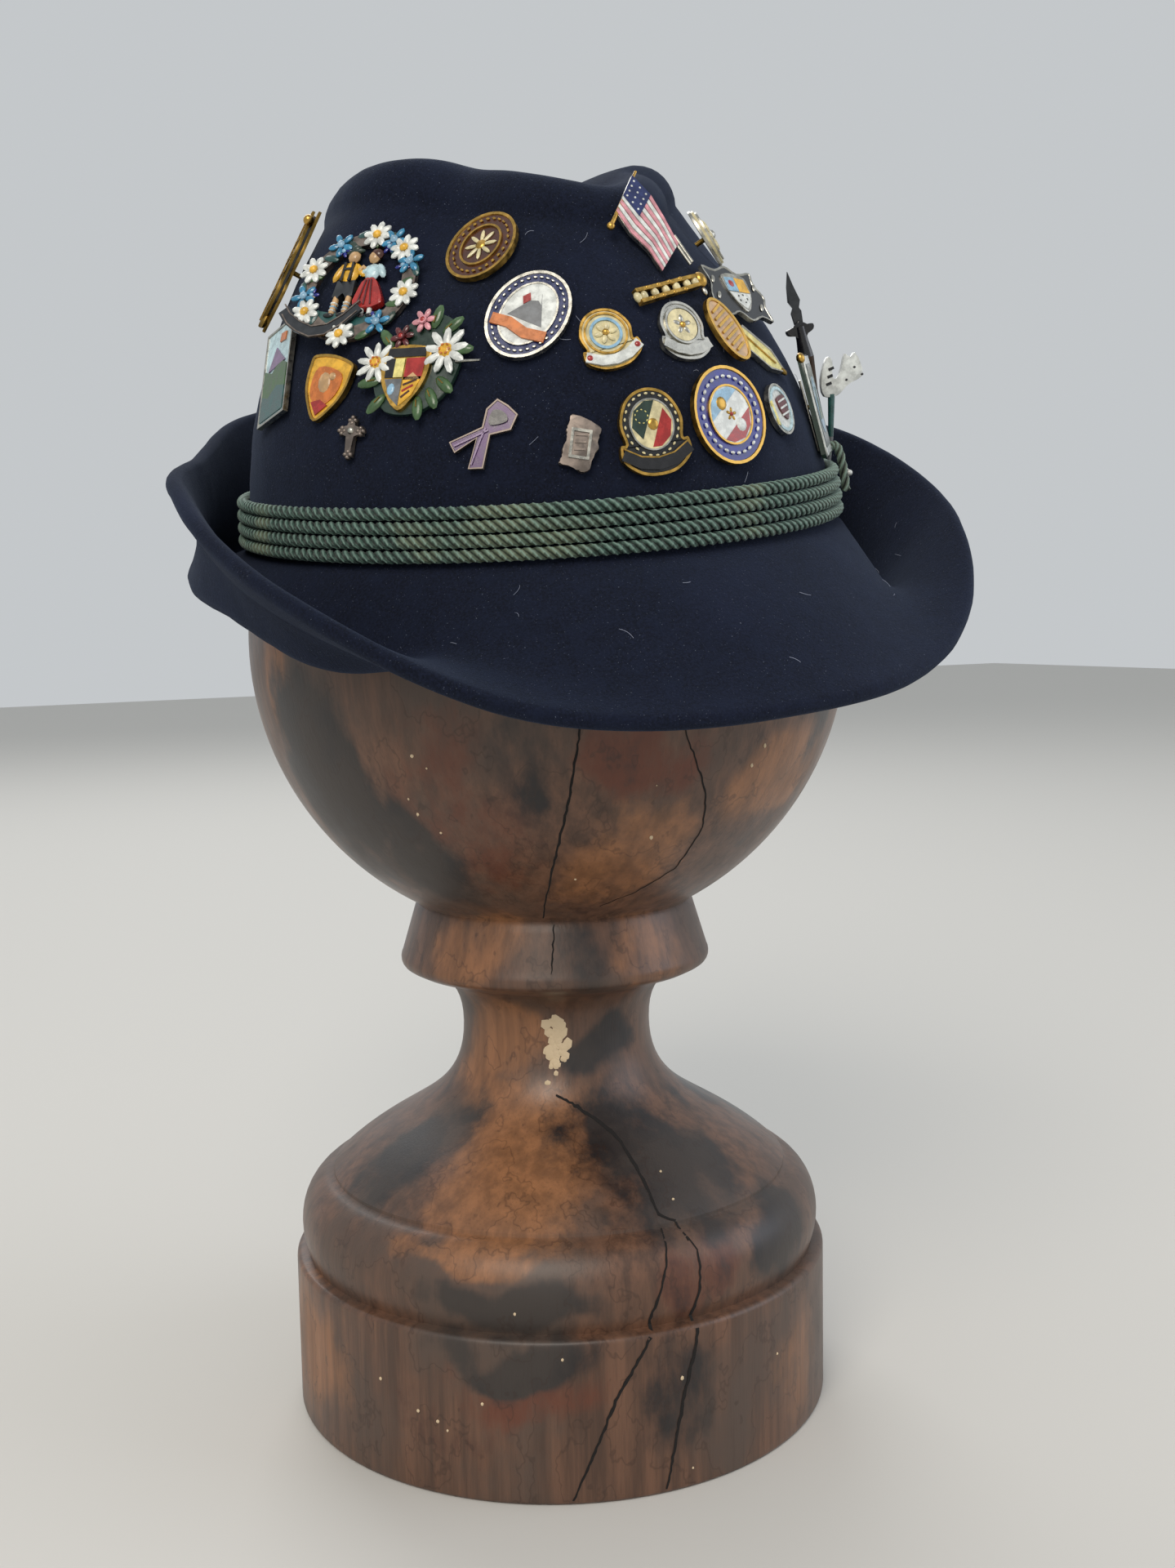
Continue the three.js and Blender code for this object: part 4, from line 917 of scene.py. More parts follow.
def dots(bm, w, h, z, size, count, paint, start=0.0, sweep=360.0, x=0.0, y=0.0):
    """Bare dots round an oval, where such pins carry their lettering."""
    for i in range(count):
        a = math.radians(start + sweep * i / count)
        dome(bm, x + w / 2 * math.cos(a), y + h / 2 * math.sin(a), z, size, size * 0.6, size * 0.5, paint,
             math.degrees(a) + 90, 6)


def strip(bm, path, width, low, high, paint):
    """A flat band along a path in the plate's plane."""
    left, right = [], []
    for i, point in enumerate(path):
        a, b = path[max(i - 1, 0)], path[min(i + 1, len(path) - 1)]
        away = Vector((a[1] - b[1], b[0] - a[0])).normalized() * width / 2
        left.append((point[0] + away.x, point[1] + away.y))
        right.append((point[0] - away.x, point[1] - away.y))
    slab(bm, right + left[::-1], low, high, paint)


def rod(bm, a, b, radius, paint, tip=None):
    """A round wire between two points."""
    a, b = Vector(a), Vector(b)
    lie = Matrix.Translation((a + b) / 2) @ (b - a).to_track_quat("Z", "Y").to_matrix().to_4x4()
    made = bmesh.ops.create_cone(bm, cap_ends=True, segments=12, radius1=radius, depth=(b - a).length,
                                 radius2=radius if tip is None else tip, matrix=lie)
    painted({face for vert in made["verts"] for face in vert.link_faces}, paint)


def flower(bm, x, y, z, radius, petals, petal, heart, turn=0.0):
    """Petals round a raised heart."""
    for i in range(petals):
        a = turn + 360 * i / petals
        dx, dy = math.cos(math.radians(a)) * radius * 0.6, math.sin(math.radians(a)) * radius * 0.6
        dome(bm, x + dx, y + dy, z, radius * 0.42, radius * 0.24, radius * 0.16, petal, a, 8)
    dome(bm, x, y, z + radius * 0.08, radius * 0.3, radius * 0.3, radius * 0.24, heart, 0, 8)


def pinned(name, bm, seat, post, slot, node_name):
    """Sets a finished pin on the crown, with its post run back into the felt."""
    if post:
        rod(bm, (0, 0, -post), (0, 0, 0.2), POST_RADIUS, "old_gold")
    used = sorted({face.material_index for face in bm.faces})
    for face in bm.faces:
        face.material_index = used.index(face.material_index)
    bmesh.ops.recalc_face_normals(bm, faces=bm.faces)
    bmesh.ops.transform(bm, matrix=seat, verts=bm.verts)
    finished(name, bm, [pin_paint(PAINTS[i]) for i in used], slot, node_name)


# A brooch of two thin cast leaves, seen from its edge at the far left, with a ball and a clasp's tongue.
seat, post = seat_of("pin_leaf_brooch", 2.6, -110, 76, 4)
leaf = rounded(mirrored(15, 37, [(0, -0.5), (0.2, -0.4), (0.5, -0.2), (0.36, -0.04), (0.46, 0.16),
                                 (0.22, 0.34),
                                 (0, 0.5)]))
pin = bmesh.new()
slab(pin, leaf, 0, 0.9, "old_gold", 0.2)
slab(pin, [(x * 0.86, y * 0.9) for x, y in leaf], 0.8, 1.7, "black")
slab(pin, [(x * 0.94, y * 0.96) for x, y in leaf], 1.6, 2.5, "old_gold", 0.3)
strip(pin, [(0, -16), (0.4, -6), (-0.2, 6), (0, 15)], 1.0, 2.4, 2.9, "old_gold")
for side in (-1, 1):
    for rise in (-9, -4, 1, 6):
        strip(pin, [(0, rise), (side * 3, rise + 2), (side * 5.2, rise + 2.4)], 0.6, 2.4, 2.8, "old_gold")
dome(pin, 2.2, 14.5, 2.4, 1.6, 1.6, 1.5, "gold")
dome(pin, 1.5, -15.5, 1.5, 1.5, 2.4, 1.0, "old_gold")
pinned("leaf_brooch", pin, seat, post, "brass", "pin_leaf_brooch")

# A small oblong picture plate: hills under a pale sky, in a silver frame.
seat, post = seat_of("pin_picture_plate", 1.6, -91.3, 50, 20)
pin = bmesh.new()
plate(pin, scaled(16, 27.5, [(-0.5, -0.5), (0.5, -0.5), (0.5, 0.5), (-0.5, 0.5)]), 1.6, 0.9, 0.25, "silver",
      "pale_blue")
slab(pin, [(-6.9, -12.6), (6.9, -12.6), (6.9, -6), (2, -4.4), (-3, -6.6), (-6.9, -5)], 1.2, 1.5, "teal")
slab(pin, [(-6.9, -5.2), (-3, -6.8), (2, -4.6), (6.9, -6.2), (6.9, 0.5), (2.6, 3), (-2, 0.4), (-6.9, 2.6)],
     1.2, 1.48,
     "green")
slab(pin, [(-4.5, 1.6), (-0.5, 7.6), (2.4, 4.8), (5.6, 2)], 1.2, 1.5, "lilac")
slab(pin, [(1, 8.6), (4.4, 8.2), (4.8, 10.6), (1.6, 11)], 1.2, 1.5, "orange")
pinned("picture_plate", pin, seat, post, "enamel_white", "pin_picture_plate")

# A wreath of daisies and gentians in relief, with a dancing couple in country dress and a bare banner.
seat, post = seat_of("pin_flower_wreath", 2.4, -74.4, 70.4, 0)
pin = bmesh.new()
WREATH_RADIUS = 15.6
hoop(pin, oval(34, 34), oval(26, 26), 0, 1.4, "pewter")
for i in range(26):
    a = 360 * i / 26
    reach = 15.4 + (1.3 if i % 2 else -1.2)
    dome(pin, *beside(reach, a), 1.3, 2.6, 1.1, 0.7,
         ("green", "teal", "dark_green")[i % 3], a + 70 * (i % 2) + 30, 8)
for a in (82, 42, -14, -93, 159, -150):
    x, y = beside(WREATH_RADIUS, a)
    flower(pin, x, y, 2.0, 4.3, 8, "white", "yellow", a)
for a in (122, 60, 23, -53, 190):
    x, y = beside(WREATH_RADIUS, a)
    flower(pin, x, y, 1.9, 3.9, 5, "turquoise", "sky", a)
    flower(pin, x * 0.86, y * 0.86, 1.6, 2.3, 5, "blue", "sky", a + 30)
slab(pin, rounded([(-14, -7), (-4, -8.4), (3, -9.4), (11, -8), (13, -10), (4, -13), (-8, -13)]), 0, 1.3,
     "teal", 0.2)
slab(pin, [(-6.4, 1.6), (-0.9, 1.6), (-0.6, -3.4), (-2.8, -3.9), (-3.6, -1.6), (-4.6, -4), (-6.8, -3.6)], 0,
     1.9, "charcoal",
     0.3)
dome(pin, -3.6, 4.2, 1.2, 2.9, 3.7, 1.3, "yellow")
dome(pin, -6.8, 4.6, 1.2, 1.1, 3.2, 0.9, "yellow", -24)
dome(pin, -0.6, 5.0, 1.2, 1.0, 2.8, 0.9, "yellow", 40)
for x in (-4.8, -2.4):
    strip(pin, [(x, 6.8), (x + 0.1, 4), (x - 0.1, 1)], 0.7, 2.0, 2.7, "black")
strip(pin, [(-4.8, 4.6), (-2.4, 4.6)], 0.7, 2.2, 2.8, "black")
for x, rise in ((-5.6, -5.4), (-1.8, -5.4)):
    rod(pin, (x, -3.4, 1.1), (x - 0.2, -8.6, 1.1), 0.85, "tan")
    for k in range(3):
        dome(pin, x - 0.1, rise - k * 1.1, 1.1, 1.15, 0.4, 1.05, "white" if k % 2 == 0 else "sky", 0, 8)
    dome(pin, x - 0.8, -8.9, 1.2, 1.7, 0.8, 0.8, "black")
dome(pin, -3.4, 9.2, 1.4, 1.8, 2.0, 1.2, "tan")
dome(pin, -3.4, 10.8, 1.5, 2.9, 0.8, 0.9, "dark_green", 8)
dome(pin, -3.3, 11.6, 1.5, 1.6, 1.2, 1.0, "dark_green")
slab(pin, rounded([(1.9, 1.8), (4.9, 1.8), (8.6, -4.6), (8.2, -6.6), (4.4, -7.6), (0.4, -6.4), (0.2, -4.2)]),
     0, 1.9, "red", 0.4)
for x, low_x in ((2.6, 1.8), (3.4, 3.8), (4.2, 5.8)):
    strip(pin, [(x, 1.2), ((x + low_x) / 2, -3), (low_x, -6.6)], 0.45, 1.8, 2.15, "dark_red")
dome(pin, 3.4, 4.0, 1.2, 2.3, 2.8, 1.2, "pale_blue")
dome(pin, 6.0, 4.4, 1.2, 1.1, 2.6, 0.9, "pale_blue", 30)
dome(pin, 1.4, 4.8, 1.2, 0.9, 2.3, 0.8, "pale_blue", -46)
dome(pin, 2.9, 8.7, 1.4, 1.7, 1.9, 1.2, "tan")
dome(pin, 3.6, 9.6, 1.5, 1.9, 1.6, 1.1, "brown", -20)
strip(pin, [(-0.4, 4.4), (0.6, 5.6), (1.4, 4.8)], 0.9, 1.4, 2.1, "tan")
for x in (3.0, 5.4):
    rod(pin, (x, -6.8, 1.0), (x + 0.3, -9.4, 1.0), 0.7, "white")
    dome(pin, x + 0.6, -9.6, 1.1, 1.3, 0.7, 0.7, "black")
banner = [(-20, -7), (-17.6, -10), (-14, -12.6), (-9.6, -14.6), (-5, -14.2), (-1, -11.6), (3, -7.4)]
strip(pin, banner, 3.4, 1.9, 2.6, "charcoal")
strip(pin, [(x, y + 1.6) for x, y in banner], 0.35, 2.2, 2.8, "pewter")
strip(pin, [(x, y - 1.6) for x, y in banner], 0.35, 2.2, 2.8, "pewter")
pinned("flower_wreath", pin, seat, post, "enamel_white", "pin_flower_wreath")

# A golden-yellow shield with a gold rim, a tan form on its orange middle and a red foot.
seat, post = seat_of("pin_yellow_shield", 1.8, -73, 45.5, -11)
SHIELD = [(0, -0.5), (0.3, -0.26), (0.46, 0), (0.5, 0.3), (0.44, 0.44), (0, 0.5)]
pin = bmesh.new()
plate(pin, rounded(mirrored(15.5, 18, SHIELD)), 1.8, 0.7, 0.25, "gold", "yellow")
slab(pin, rounded([(-4.6, -2), (0, -5), (4.6, -1), (4.4, 4.6), (-4.2, 5)]), 1.2, 1.65, "orange")
dome(pin, -0.6, 1.4, 1.6, 2.2, 2.9, 0.5, "tan", 20)
dome(pin, 1.6, 3.4, 1.6, 1.3, 1.1, 0.5, "tan")
slab(pin, [(-3, -4.4), (0, -7.4), (3, -4.2), (0, -3.2)], 1.3, 1.75, "red")
pinned("yellow_shield", pin, seat, post, "enamel_yellow", "pin_yellow_shield")

# A quartered shield between edelweiss, roses and leaves, in painted relief.
seat, post = seat_of("pin_blossom_shield", 2.6, -52.1, 50.6, 0)
pin = bmesh.new()
slab(pin, rounded([(-12, -3), (-8, -12), (-2, -14), (4, -13), (10, -8), (12.5, 1), (10, 10), (4, 13.4),
                   (-3, 11.5), (-10, 5)]),
     0, 1.1, "dark_green", 0.3)
for x, y, turn in ((4, 12.4, 80), (9, 9.7, 40), (9.4, -6.5, -40), (2.9, -12.6, -80), (-9.4, -11, -130),
                   (-9.5, 7, 130),
                   (12.6, 3, 0), (-12.6, -5, 190), (6.4, -10, -60)):
    dome(pin, x, y, 1.4, 3.4, 1.5, 0.8, "green", turn)
    strip(pin, [beside(-2, turn, x, y), (x, y)], 0.3, 1.9, 2.35, "old_gold")
shield = [(x - 2.3, y - 4.4) for x, y in rounded(mirrored(14, 18, SHIELD))]
slab(pin, shield, 0, 2.2, "gold", 0.3)
slab(pin, [(-7.6, 3.6), (3.0, 3.6), (3.2, 1.2), (-7.8, 1.2)], 2.0, 2.42, "black")
slab(pin, [(-7.9, 0.8), (-2.5, 0.8), (-2.5, -4.4), (-7.6, -4.4)], 2.0, 2.4, "black")
slab(pin, [(-5.2, 0.8), (-2.5, 0.8), (-2.5, -4.4), (-5.2, -4.4)], 2.1, 2.44, "pale_yellow")
slab(pin, [(-2.1, 0.8), (3.3, 0.8), (3.0, -4.4), (-2.1, -4.4)], 2.0, 2.4, "red")
slab(pin, [(-2.1, -4.4), (3.0, -4.4), (2.8, -5.2), (0.4, -3.2), (-2.1, -5.2)], 2.1, 2.44, "tan")
slab(pin, [(-7.5, -4.8), (-2.5, -4.8), (-2.5, -12.2), (-5.4, -9.6)], 2.0, 2.4, "grey")
slab(pin, [(-2.1, -4.8), (2.9, -4.8), (1.0, -9.4), (-2.1, -12.2)], 2.0, 2.4, "yellow")
for k, paint in enumerate(("brown", "red", "brown")):
    strip(pin, [(-1.9, -6.6 - k * 1.7), (1.9 - k * 0.8, -5.2 - k * 1.5)], 0.6, 2.2, 2.46, paint)
dome(pin, -5.2, -7.6, 2.4, 1.1, 1.6, 0.3, "sky")
for x, y, reach in ((8.4, 2.6, 6.6), (-11.2, 0.2, 5.8)):
    for i in range(9):
        a = 360 * i / 9 + 12
        long = reach * (0.62 if i % 2 else 0.54)
        dome(pin, *beside(long, a, x, y), 2.0, reach * 0.44, reach * 0.17, 0.7, "white", a, 8)
    dome(pin, x, y, 2.3, reach * 0.3, reach * 0.3, 0.7, "yellow")
    dots(pin, reach * 0.4, reach * 0.4, 2.95, 0.5, 6, "orange", 0, 360, x, y)
for x, y, reach, outer, inner in ((0.6, 11.2, 3.4, "pink", "red"), (-4.9, 7, 3.4, "dark_red", "red")):
    flower(pin, x, y, 2.0, reach, 6, outer, inner, 10)
    hoop(pin, oval(2.2, 2.2, x, y, 12), oval(1.3, 1.3, x, y, 12), 2.4, 3.0, outer)
rod(pin, (11.5, -0.2, 1.4), (18.5, -0.5, 1.8), 0.45, "silver", 0.3)
pinned("blossom_shield", pin, seat, post, "enamel_white", "pin_blossom_shield")

# A small cast cross with three-lobed ends.
seat, post = seat_of("pin_cross", 1.8, -64.4, 33.3, -2)
pin = bmesh.new()
CROSS = [(0.14, -0.5), (0.14, 0.06), (0.5, 0.06), (0.5, 0.28), (0.14, 0.28), (0.14, 0.5)]
slab(pin, mirrored(7, 9.8, CROSS), 0, 1.6, "pewter", 0.3)
for x, y in ((0, 4.4), (-3.0, 1.7), (3.0, 1.7), (0, -4.4)):
    for dx, dy in ((0.9, 0), (-0.9, 0), (0, 0.9), (0, -0.9)):
        dome(pin, x + dx * 0.9, y + dy * 0.8, 1.0, 0.75, 0.75, 0.9, "pewter", 0, 8)
dome(pin, 0, 1.7, 1.5, 1.0, 1.0, 0.7, "silver")
pinned("trefoil_cross", pin, seat, post, "pewter", "pin_cross")

# A brown disc with a gold rim, gold dots round it and a cream star in a gold ring.
seat, post = seat_of("pin_brown_round", 1.8, -40.2, 78, 0)
pin = bmesh.new()
plate(pin, oval(20, 22), 1.8, 0.8, 0.3, "gold", "brown")
dots(pin, 15.4, 17.4, 1.6, 0.62, 26, "gold")
hoop(pin, oval(12, 13.6), oval(10.8, 12.4), 1.2, 1.8, "gold")
for i in range(8):
    a = 45 * i + 10
    dome(pin, 2.6 * math.cos(math.radians(a)), 3.0 * math.sin(math.radians(a)), 1.5, 2.1, 0.6, 0.4, "cream",
         a, 8)
dome(pin, 0, 0, 1.6, 1.5, 1.6, 0.5, "gold")
pinned("brown_disc", pin, seat, post, "brass", "pin_brown_round")

# A folded violet ribbon with a heart-shaped loop.
seat, post = seat_of("pin_ribbon", 1.6, -37.5, 33.1, 0)
pin = bmesh.new()
ribbon = scaled(17.4, 17.3, [(-0.5, -0.1), (-0.42, -0.26), (-0.1, -0.06), (-0.22, -0.5), (0, -0.5),
                             (0.1, -0.02),
                             (0.4, 0.04), (0.5, 0.26), (0.36, 0.4), (0.2, 0.5), (0.04, 0.36), (-0.02, 0.1)])
plate(pin, ribbon, 1.6, 0.45, 0.2, "pewter", "violet")
slab(pin, rounded(scaled(17.4, 17.3, [(0.1, 0.12), (0.34, 0.16), (0.32, 0.28), (0.18, 0.34), (0.1, 0.26)])),
     1.2, 1.66, "black")
strip(pin, [(-3.0, -7.6), (-0.6, -1.2), (0.6, 1.4)], 0.4, 1.3, 1.62, "lilac")
strip(pin, [(-7.4, -2.8), (-1.6, -0.4), (1.2, 0.8)], 0.4, 1.3, 1.62, "lilac")
pinned("violet_ribbon", pin, seat, post, "enamel_dark", "pin_ribbon")

# A navy oval with a silver rim and dots, a grey peak on its white middle and a bare orange banner.
seat, post = seat_of("pin_navy_round", 1.8, -28.4, 60.7, -30)
pin = bmesh.new()
plate(pin, oval(20.4, 26), 1.8, 0.8, 0.3, "silver", "navy")
dots(pin, 16.6, 22, 1.6, 0.62, 34, "silver")
hoop(pin, oval(14, 19), oval(13, 18), 1.2, 1.75, "silver")
slab(pin, oval(13, 18), 1.2, 1.6, "white")
slab(pin, [(-4.6, -2.4), (0.4, 6.4), (5, -2)], 1.5, 1.72, "grey")
slab(pin, [(-1.2, 3.4), (0.4, 6.4), (1.9, 3.4), (0.6, 4.2)], 1.6, 1.8, "white")
slab(pin, [(-3.6, 3.6), (-2.4, 5.4), (-1.2, 3.6), (-2.4, 1.8)], 1.6, 1.8, "red")
strip(pin, [(-7.6, -5.2), (-3, -4.4), (2, -5.4), (7.4, -4.2)], 3.0, 1.6, 2.1, "orange")
pinned("navy_oval", pin, seat, post, "enamel_blue", "pin_navy_round")

# Three round pins with a bare scroll across the foot: one cream and gold, one silver, and a larger black one
# with a dark green and red middle cut by a cream bar.
SCROLLED = [(0, -0.5), (0.27, -0.46), (0.5, -0.3), (0.5, -0.12), (0.42, -0.1), (0.46, 0.12), (0.36, 0.34),
            (0.2, 0.46),
            (0, 0.5)]
seat, post = seat_of("pin_cream_scroll", 1.6, -13.4, 54, 14)
pin = bmesh.new()
plate(pin, rounded(mirrored(14.8, 16.2, SCROLLED)), 1.6, 0.6, 0.2, "gold", "cream")
hoop(pin, oval(11.2, 11.2, 0, 1.4), oval(10.2, 10.2, 0, 1.4), 1.2, 1.6, "gold")
hoop(pin, oval(8.4, 8.4, 0, 1.4), oval(7.0, 7.0, 0, 1.4), 1.2, 1.62, "sky")
flower(pin, 0, 1.6, 1.4, 3.0, 6, "cream", "gold")
strip(pin, [(-7.2, -3.4), (-3.6, -5.4), (0, -6.0), (3.6, -5.4), (7.2, -3.4)], 2.6, 1.4, 1.95, "white")
for x in (-6.4, 6.4):
    dome(pin, x, -3.9, 1.9, 0.8, 0.8, 0.4, "red")
pinned("cream_scroll", pin, seat, post, "brass", "pin_cream_scroll")

seat, post = seat_of("pin_silver_scroll", 1.6, 2.5, 55, -4)
pin = bmesh.new()
plate(pin, rounded(mirrored(14.2, 16, SCROLLED)), 1.6, 0.7, 0.2, "silver", "silver")
hoop(pin, oval(10.4, 10.4, 0, 1.4), oval(9.2, 9.2, 0, 1.4), 1.2, 1.7, "silver")
slab(pin, oval(8.8, 8.8, 0, 1.4), 1.2, 1.6, "cream")
flower(pin, 0, 1.4, 1.5, 2.8, 5, "silver", "gold", 18)
strip(pin, [(-7, -3.4), (-3.4, -5.2), (0, -5.8), (3.4, -5.2), (7, -3.4)], 2.6, 1.4, 1.95, "silver")
pinned("silver_scroll", pin, seat, post, "pewter", "pin_silver_scroll")

seat, post = seat_of("pin_black_scroll", 1.8, -8.1, 31.4, 4)
pin = bmesh.new()
plate(pin, rounded(mirrored(18.4, 21.8, SCROLLED)), 1.8, 0.7, 0.25, "gold", "black")
dots(pin, 14.2, 15.4, 1.65, 0.55, 24, "cream", 0, 360, 0, 1.8)
hoop(pin, oval(12, 13, 0, 1.8), oval(11.2, 12.2, 0, 1.8), 1.3, 1.85, "silver")
slab(pin, oval(11.2, 12.2, 0, 1.8), 1.3, 1.7, "cream")
slab(pin, [(-5.4, 1.6), (-4.2, 5.6), (-1, 7.7), (1.6, 7.6), (-3.0, -1.6)], 1.6, 1.8, "dark_green")
dots(pin, 3.4, 3.4, 1.85, 0.3, 9, "pale_yellow", 0, 360, -2.4, 4.0)
slab(pin, [(5.4, 2.2), (4.4, -1.6), (1.6, -3.8), (-0.8, -3.8), (3.6, 5.4)], 1.6, 1.8, "red")
dome(pin, 0.3, 1.8, 1.8, 1.4, 1.5, 0.4, "gold")
strip(pin, [(-9, -4.6), (-4.6, -7.2), (0, -8), (4.6, -7.2), (9, -4.6)], 3.2, 1.5, 2.05, "black")
strip(pin, [(-8.6, -3.4), (-4.4, -5.8), (0, -6.5), (4.4, -5.8), (8.6, -3.4)], 0.35, 1.9, 2.2, "gold")
pinned("black_scroll", pin, seat, post, "enamel_dark", "pin_black_scroll")

# A small pewter plate with a waved edge and a raised oblong frame.
seat, post = seat_of("pin_pewter_plate", 1.8, -20.9, 29.7, -12)
pin = bmesh.new()
wavy = rounded(scaled(9.4, 14, [(-0.5, -0.4), (-0.1, -0.42), (0.12, -0.5), (0.34, -0.42), (0.36, -0.2),
                                (0.5, -0.04),
                                (0.42, 0.12), (0.5, 0.24), (0.42, 0.36), (-0.3, 0.5), (-0.34, 0.3),
                                (-0.42, 0.2),
                                (-0.34, 0.08), (-0.46, -0.14), (-0.4, -0.28)]), 3)
slab(pin, wavy, 0, 1.5, "pewter", 0.3)
hoop(pin, [(-2.6, -3.8), (2.6, -3.8), (2.6, 3.6), (-2.6, 3.6)],
     [(-1.9, -3.1), (1.9, -3.1), (1.9, 2.9), (-1.9, 2.9)],
     1.4, 1.85, "silver")
for y in (-1.6, 0.2, 2.0):
    strip(pin, [(-1.4, y), (1.4, y + 0.3)], 0.5, 1.4, 1.75, "pewter")
pinned("pewter_plate", pin, seat, post, "pewter", "pin_pewter_plate")

# A waving enamel flag on a ball-ended staff: a blue field of dots by the staff and white and rose stripes.
seat, post = seat_of("pin_striped_flag", 1.4, 1.5, 80.5, 0, -5, 10)
pin = bmesh.new()
hoist = [Vector((20 * x, 29 * y)) for x, y in ((-0.29, 0.152), (0.145, 0.497))]
fly = [Vector((20 * x, 29 * y)) for x, y in ((0.05, -0.466), (0.44, -0.215))]
low_edge = [hoist[0], Vector((20 * -0.2, 29 * -0.07)), Vector((20 * -0.03, 29 * -0.25)), fly[0]]
high_edge = [hoist[1], Vector((20 * 0.31, 29 * 0.29)), Vector((20 * 0.38, 29 * 0.06)), fly[1]]
slab(pin, [tuple(p) for p in low_edge + high_edge[::-1]], 0, 1.1, "silver", 0.15)
for k in range(9):
    near, far = (k + 0.12) / 9, (k + 0.88) / 9
    edge_a = [a.lerp(b, near) for a, b in zip(low_edge, high_edge)]
    edge_b = [a.lerp(b, far) for a, b in zip(low_edge, high_edge)]
    slab(pin, [tuple(p) for p in edge_a + edge_b[::-1]], 1.0, 1.4, "white" if k % 2 else "pink")
FIELD_SPAN = (0.42, 0.98)
corners = [low_edge[i].lerp(high_edge[i], FIELD_SPAN[k]) for i, k in ((0, 0), (1, 0), (1, 1), (0, 1))]
slab(pin, [tuple(p) for p in corners], 1.2, 1.52, "navy")
for row in range(4):
    for place in range(3):
        a = corners[0].lerp(corners[1], 0.16 + place * 0.33)
        b = corners[3].lerp(corners[2], 0.16 + place * 0.33)
        dot = a.lerp(b, 0.15 + row * 0.235)
        dome(pin, dot.x, dot.y, 1.5, 0.34, 0.34, 0.2, "white", 0, 6)
staff_foot, staff_head = Vector((-8.6, 0.6)), Vector((4.6, 15.6))
rod(pin, (staff_foot.x, staff_foot.y, 0.8), (staff_head.x, staff_head.y, 0.8), 0.6, "gold", 0.35)
dome(pin, staff_foot.x, staff_foot.y, 0.8, 1.1, 1.1, 1.0, "gold")
rod(pin, (7.6, -3.4, 0.7), (10.4, -12.2, 0.7), 0.45, "silver")
rod(pin, (8.8, -3.6, 0.7), (11.2, -11.6, 0.7), 0.45, "silver")
pinned("striped_flag", pin, seat, post, "enamel_white", "pin_striped_flag")

# A cast and pierced bar with a ball at its right end and a small hanging crystal.
seat, post = seat_of("pin_cast_bar", 2, 3.5, 65.6, 11)
pin = bmesh.new()
for rise in (-1.5, 1.3):
    strip(pin, [(-12.2, rise * 1.15), (-4, rise), (4, rise), (9.4, rise * 0.9)], 1.0, 0, 1.8, "gold")
for x in (-12, -9.8, -5.9, -2, 1.9, 5.8, 8.8):
    dome(pin, x, -0.1, 0.9, 1.1, 1.5, 1.0, "cream")
for x in (-7.9, -4.0, 0.0, 3.9):
    dome(pin, x, 1.5, 1.4, 0.9, 0.6, 0.7, "gold")
    dome(pin, x, -1.6, 1.4, 0.9, 0.6, 0.7, "gold")
dome(pin, 11, 0.1, 1.0, 1.7, 2.2, 1.3, "gold")
dome(pin, 9.8, -3.4, 1.1, 0.7, 1.2, 0.7, "silver")
pinned("cast_bar", pin, seat, post, "brass", "pin_cast_bar")

# A silver oval in stepped layers, seen almost from its edge.
seat, post = seat_of("pin_silver_oval", 2.6, 36.2, 78.2, 6, 0, 10)
pin = bmesh.new()
slab(pin, oval(13, 17), 0, 0.8, "silver", 0.2)
slab(pin, oval(12.2, 16.2), 0.7, 1.5, "cream", 0.2)
slab(pin, oval(10.6, 14.6), 1.4, 2.1, "silver", 0.2)
flower(pin, 0, 0, 2.1, 4.6, 8, "cream", "silver")
pinned("silver_oval", pin, seat, post, "pewter", "pin_silver_oval")

# A wide dark plate with a torn-looking edge and a small painted shield.
seat, post = seat_of("pin_dark_plate", 1.6, 25, 62.8, -14, -10)
pin = bmesh.new()
torn = rounded(scaled(23.4, 17.2, [(-0.5, -0.3), (-0.3, -0.44), (-0.12, -0.36), (0.06, -0.5), (0.28, -0.4),
                                   (0.46, -0.46),
                                   (0.44, -0.2), (0.5, 0), (0.4, 0.22), (0.42, 0.44), (0.16, 0.38),
                                   (-0.02, 0.5),
                                   (-0.24, 0.4), (-0.46, 0.44), (-0.42, 0.16), (-0.5, -0.06)]), 3)
plate(pin, torn, 1.4, 0.5, 0.15, "silver", "charcoal")
small = [(x + 0.6, y) for x, y in rounded(mirrored(10.4, 12, SHIELD))]
slab(pin, small, 1.0, 1.5, "silver", 0.15)
slab(pin, [(-3.6, 4.4), (0.4, 4.6), (0.4, 0.2), (-4.0, 0.2)], 1.4, 1.62, "sky")
slab(pin, [(0.7, 4.6), (4.6, 4.4), (5.0, 0.2), (0.7, 0.2)], 1.4, 1.62, "yellow")
dome(pin, -1.6, 2.6, 1.6, 1.1, 1.1, 0.25, "red")
slab(pin, [(-3.9, -0.2), (4.9, -0.2), (3.4, -3.0), (0.6, -5.2), (-2.4, -3.0)], 1.4, 1.62, "white")
dots(pin, 3.6, 2.4, 1.64, 0.4, 5, "black", 0, 360, 0.6, -2.0)
for x, y in ((-8.4, 3.4), (-8.8, -1.6), (8.6, 2.6), (8.0, -3.8)):
    dome(pin, x, y, 1.3, 1.4, 0.6, 0.35, "silver", 60)
pinned("dark_plate", pin, seat, post, "enamel_dark", "pin_dark_plate")

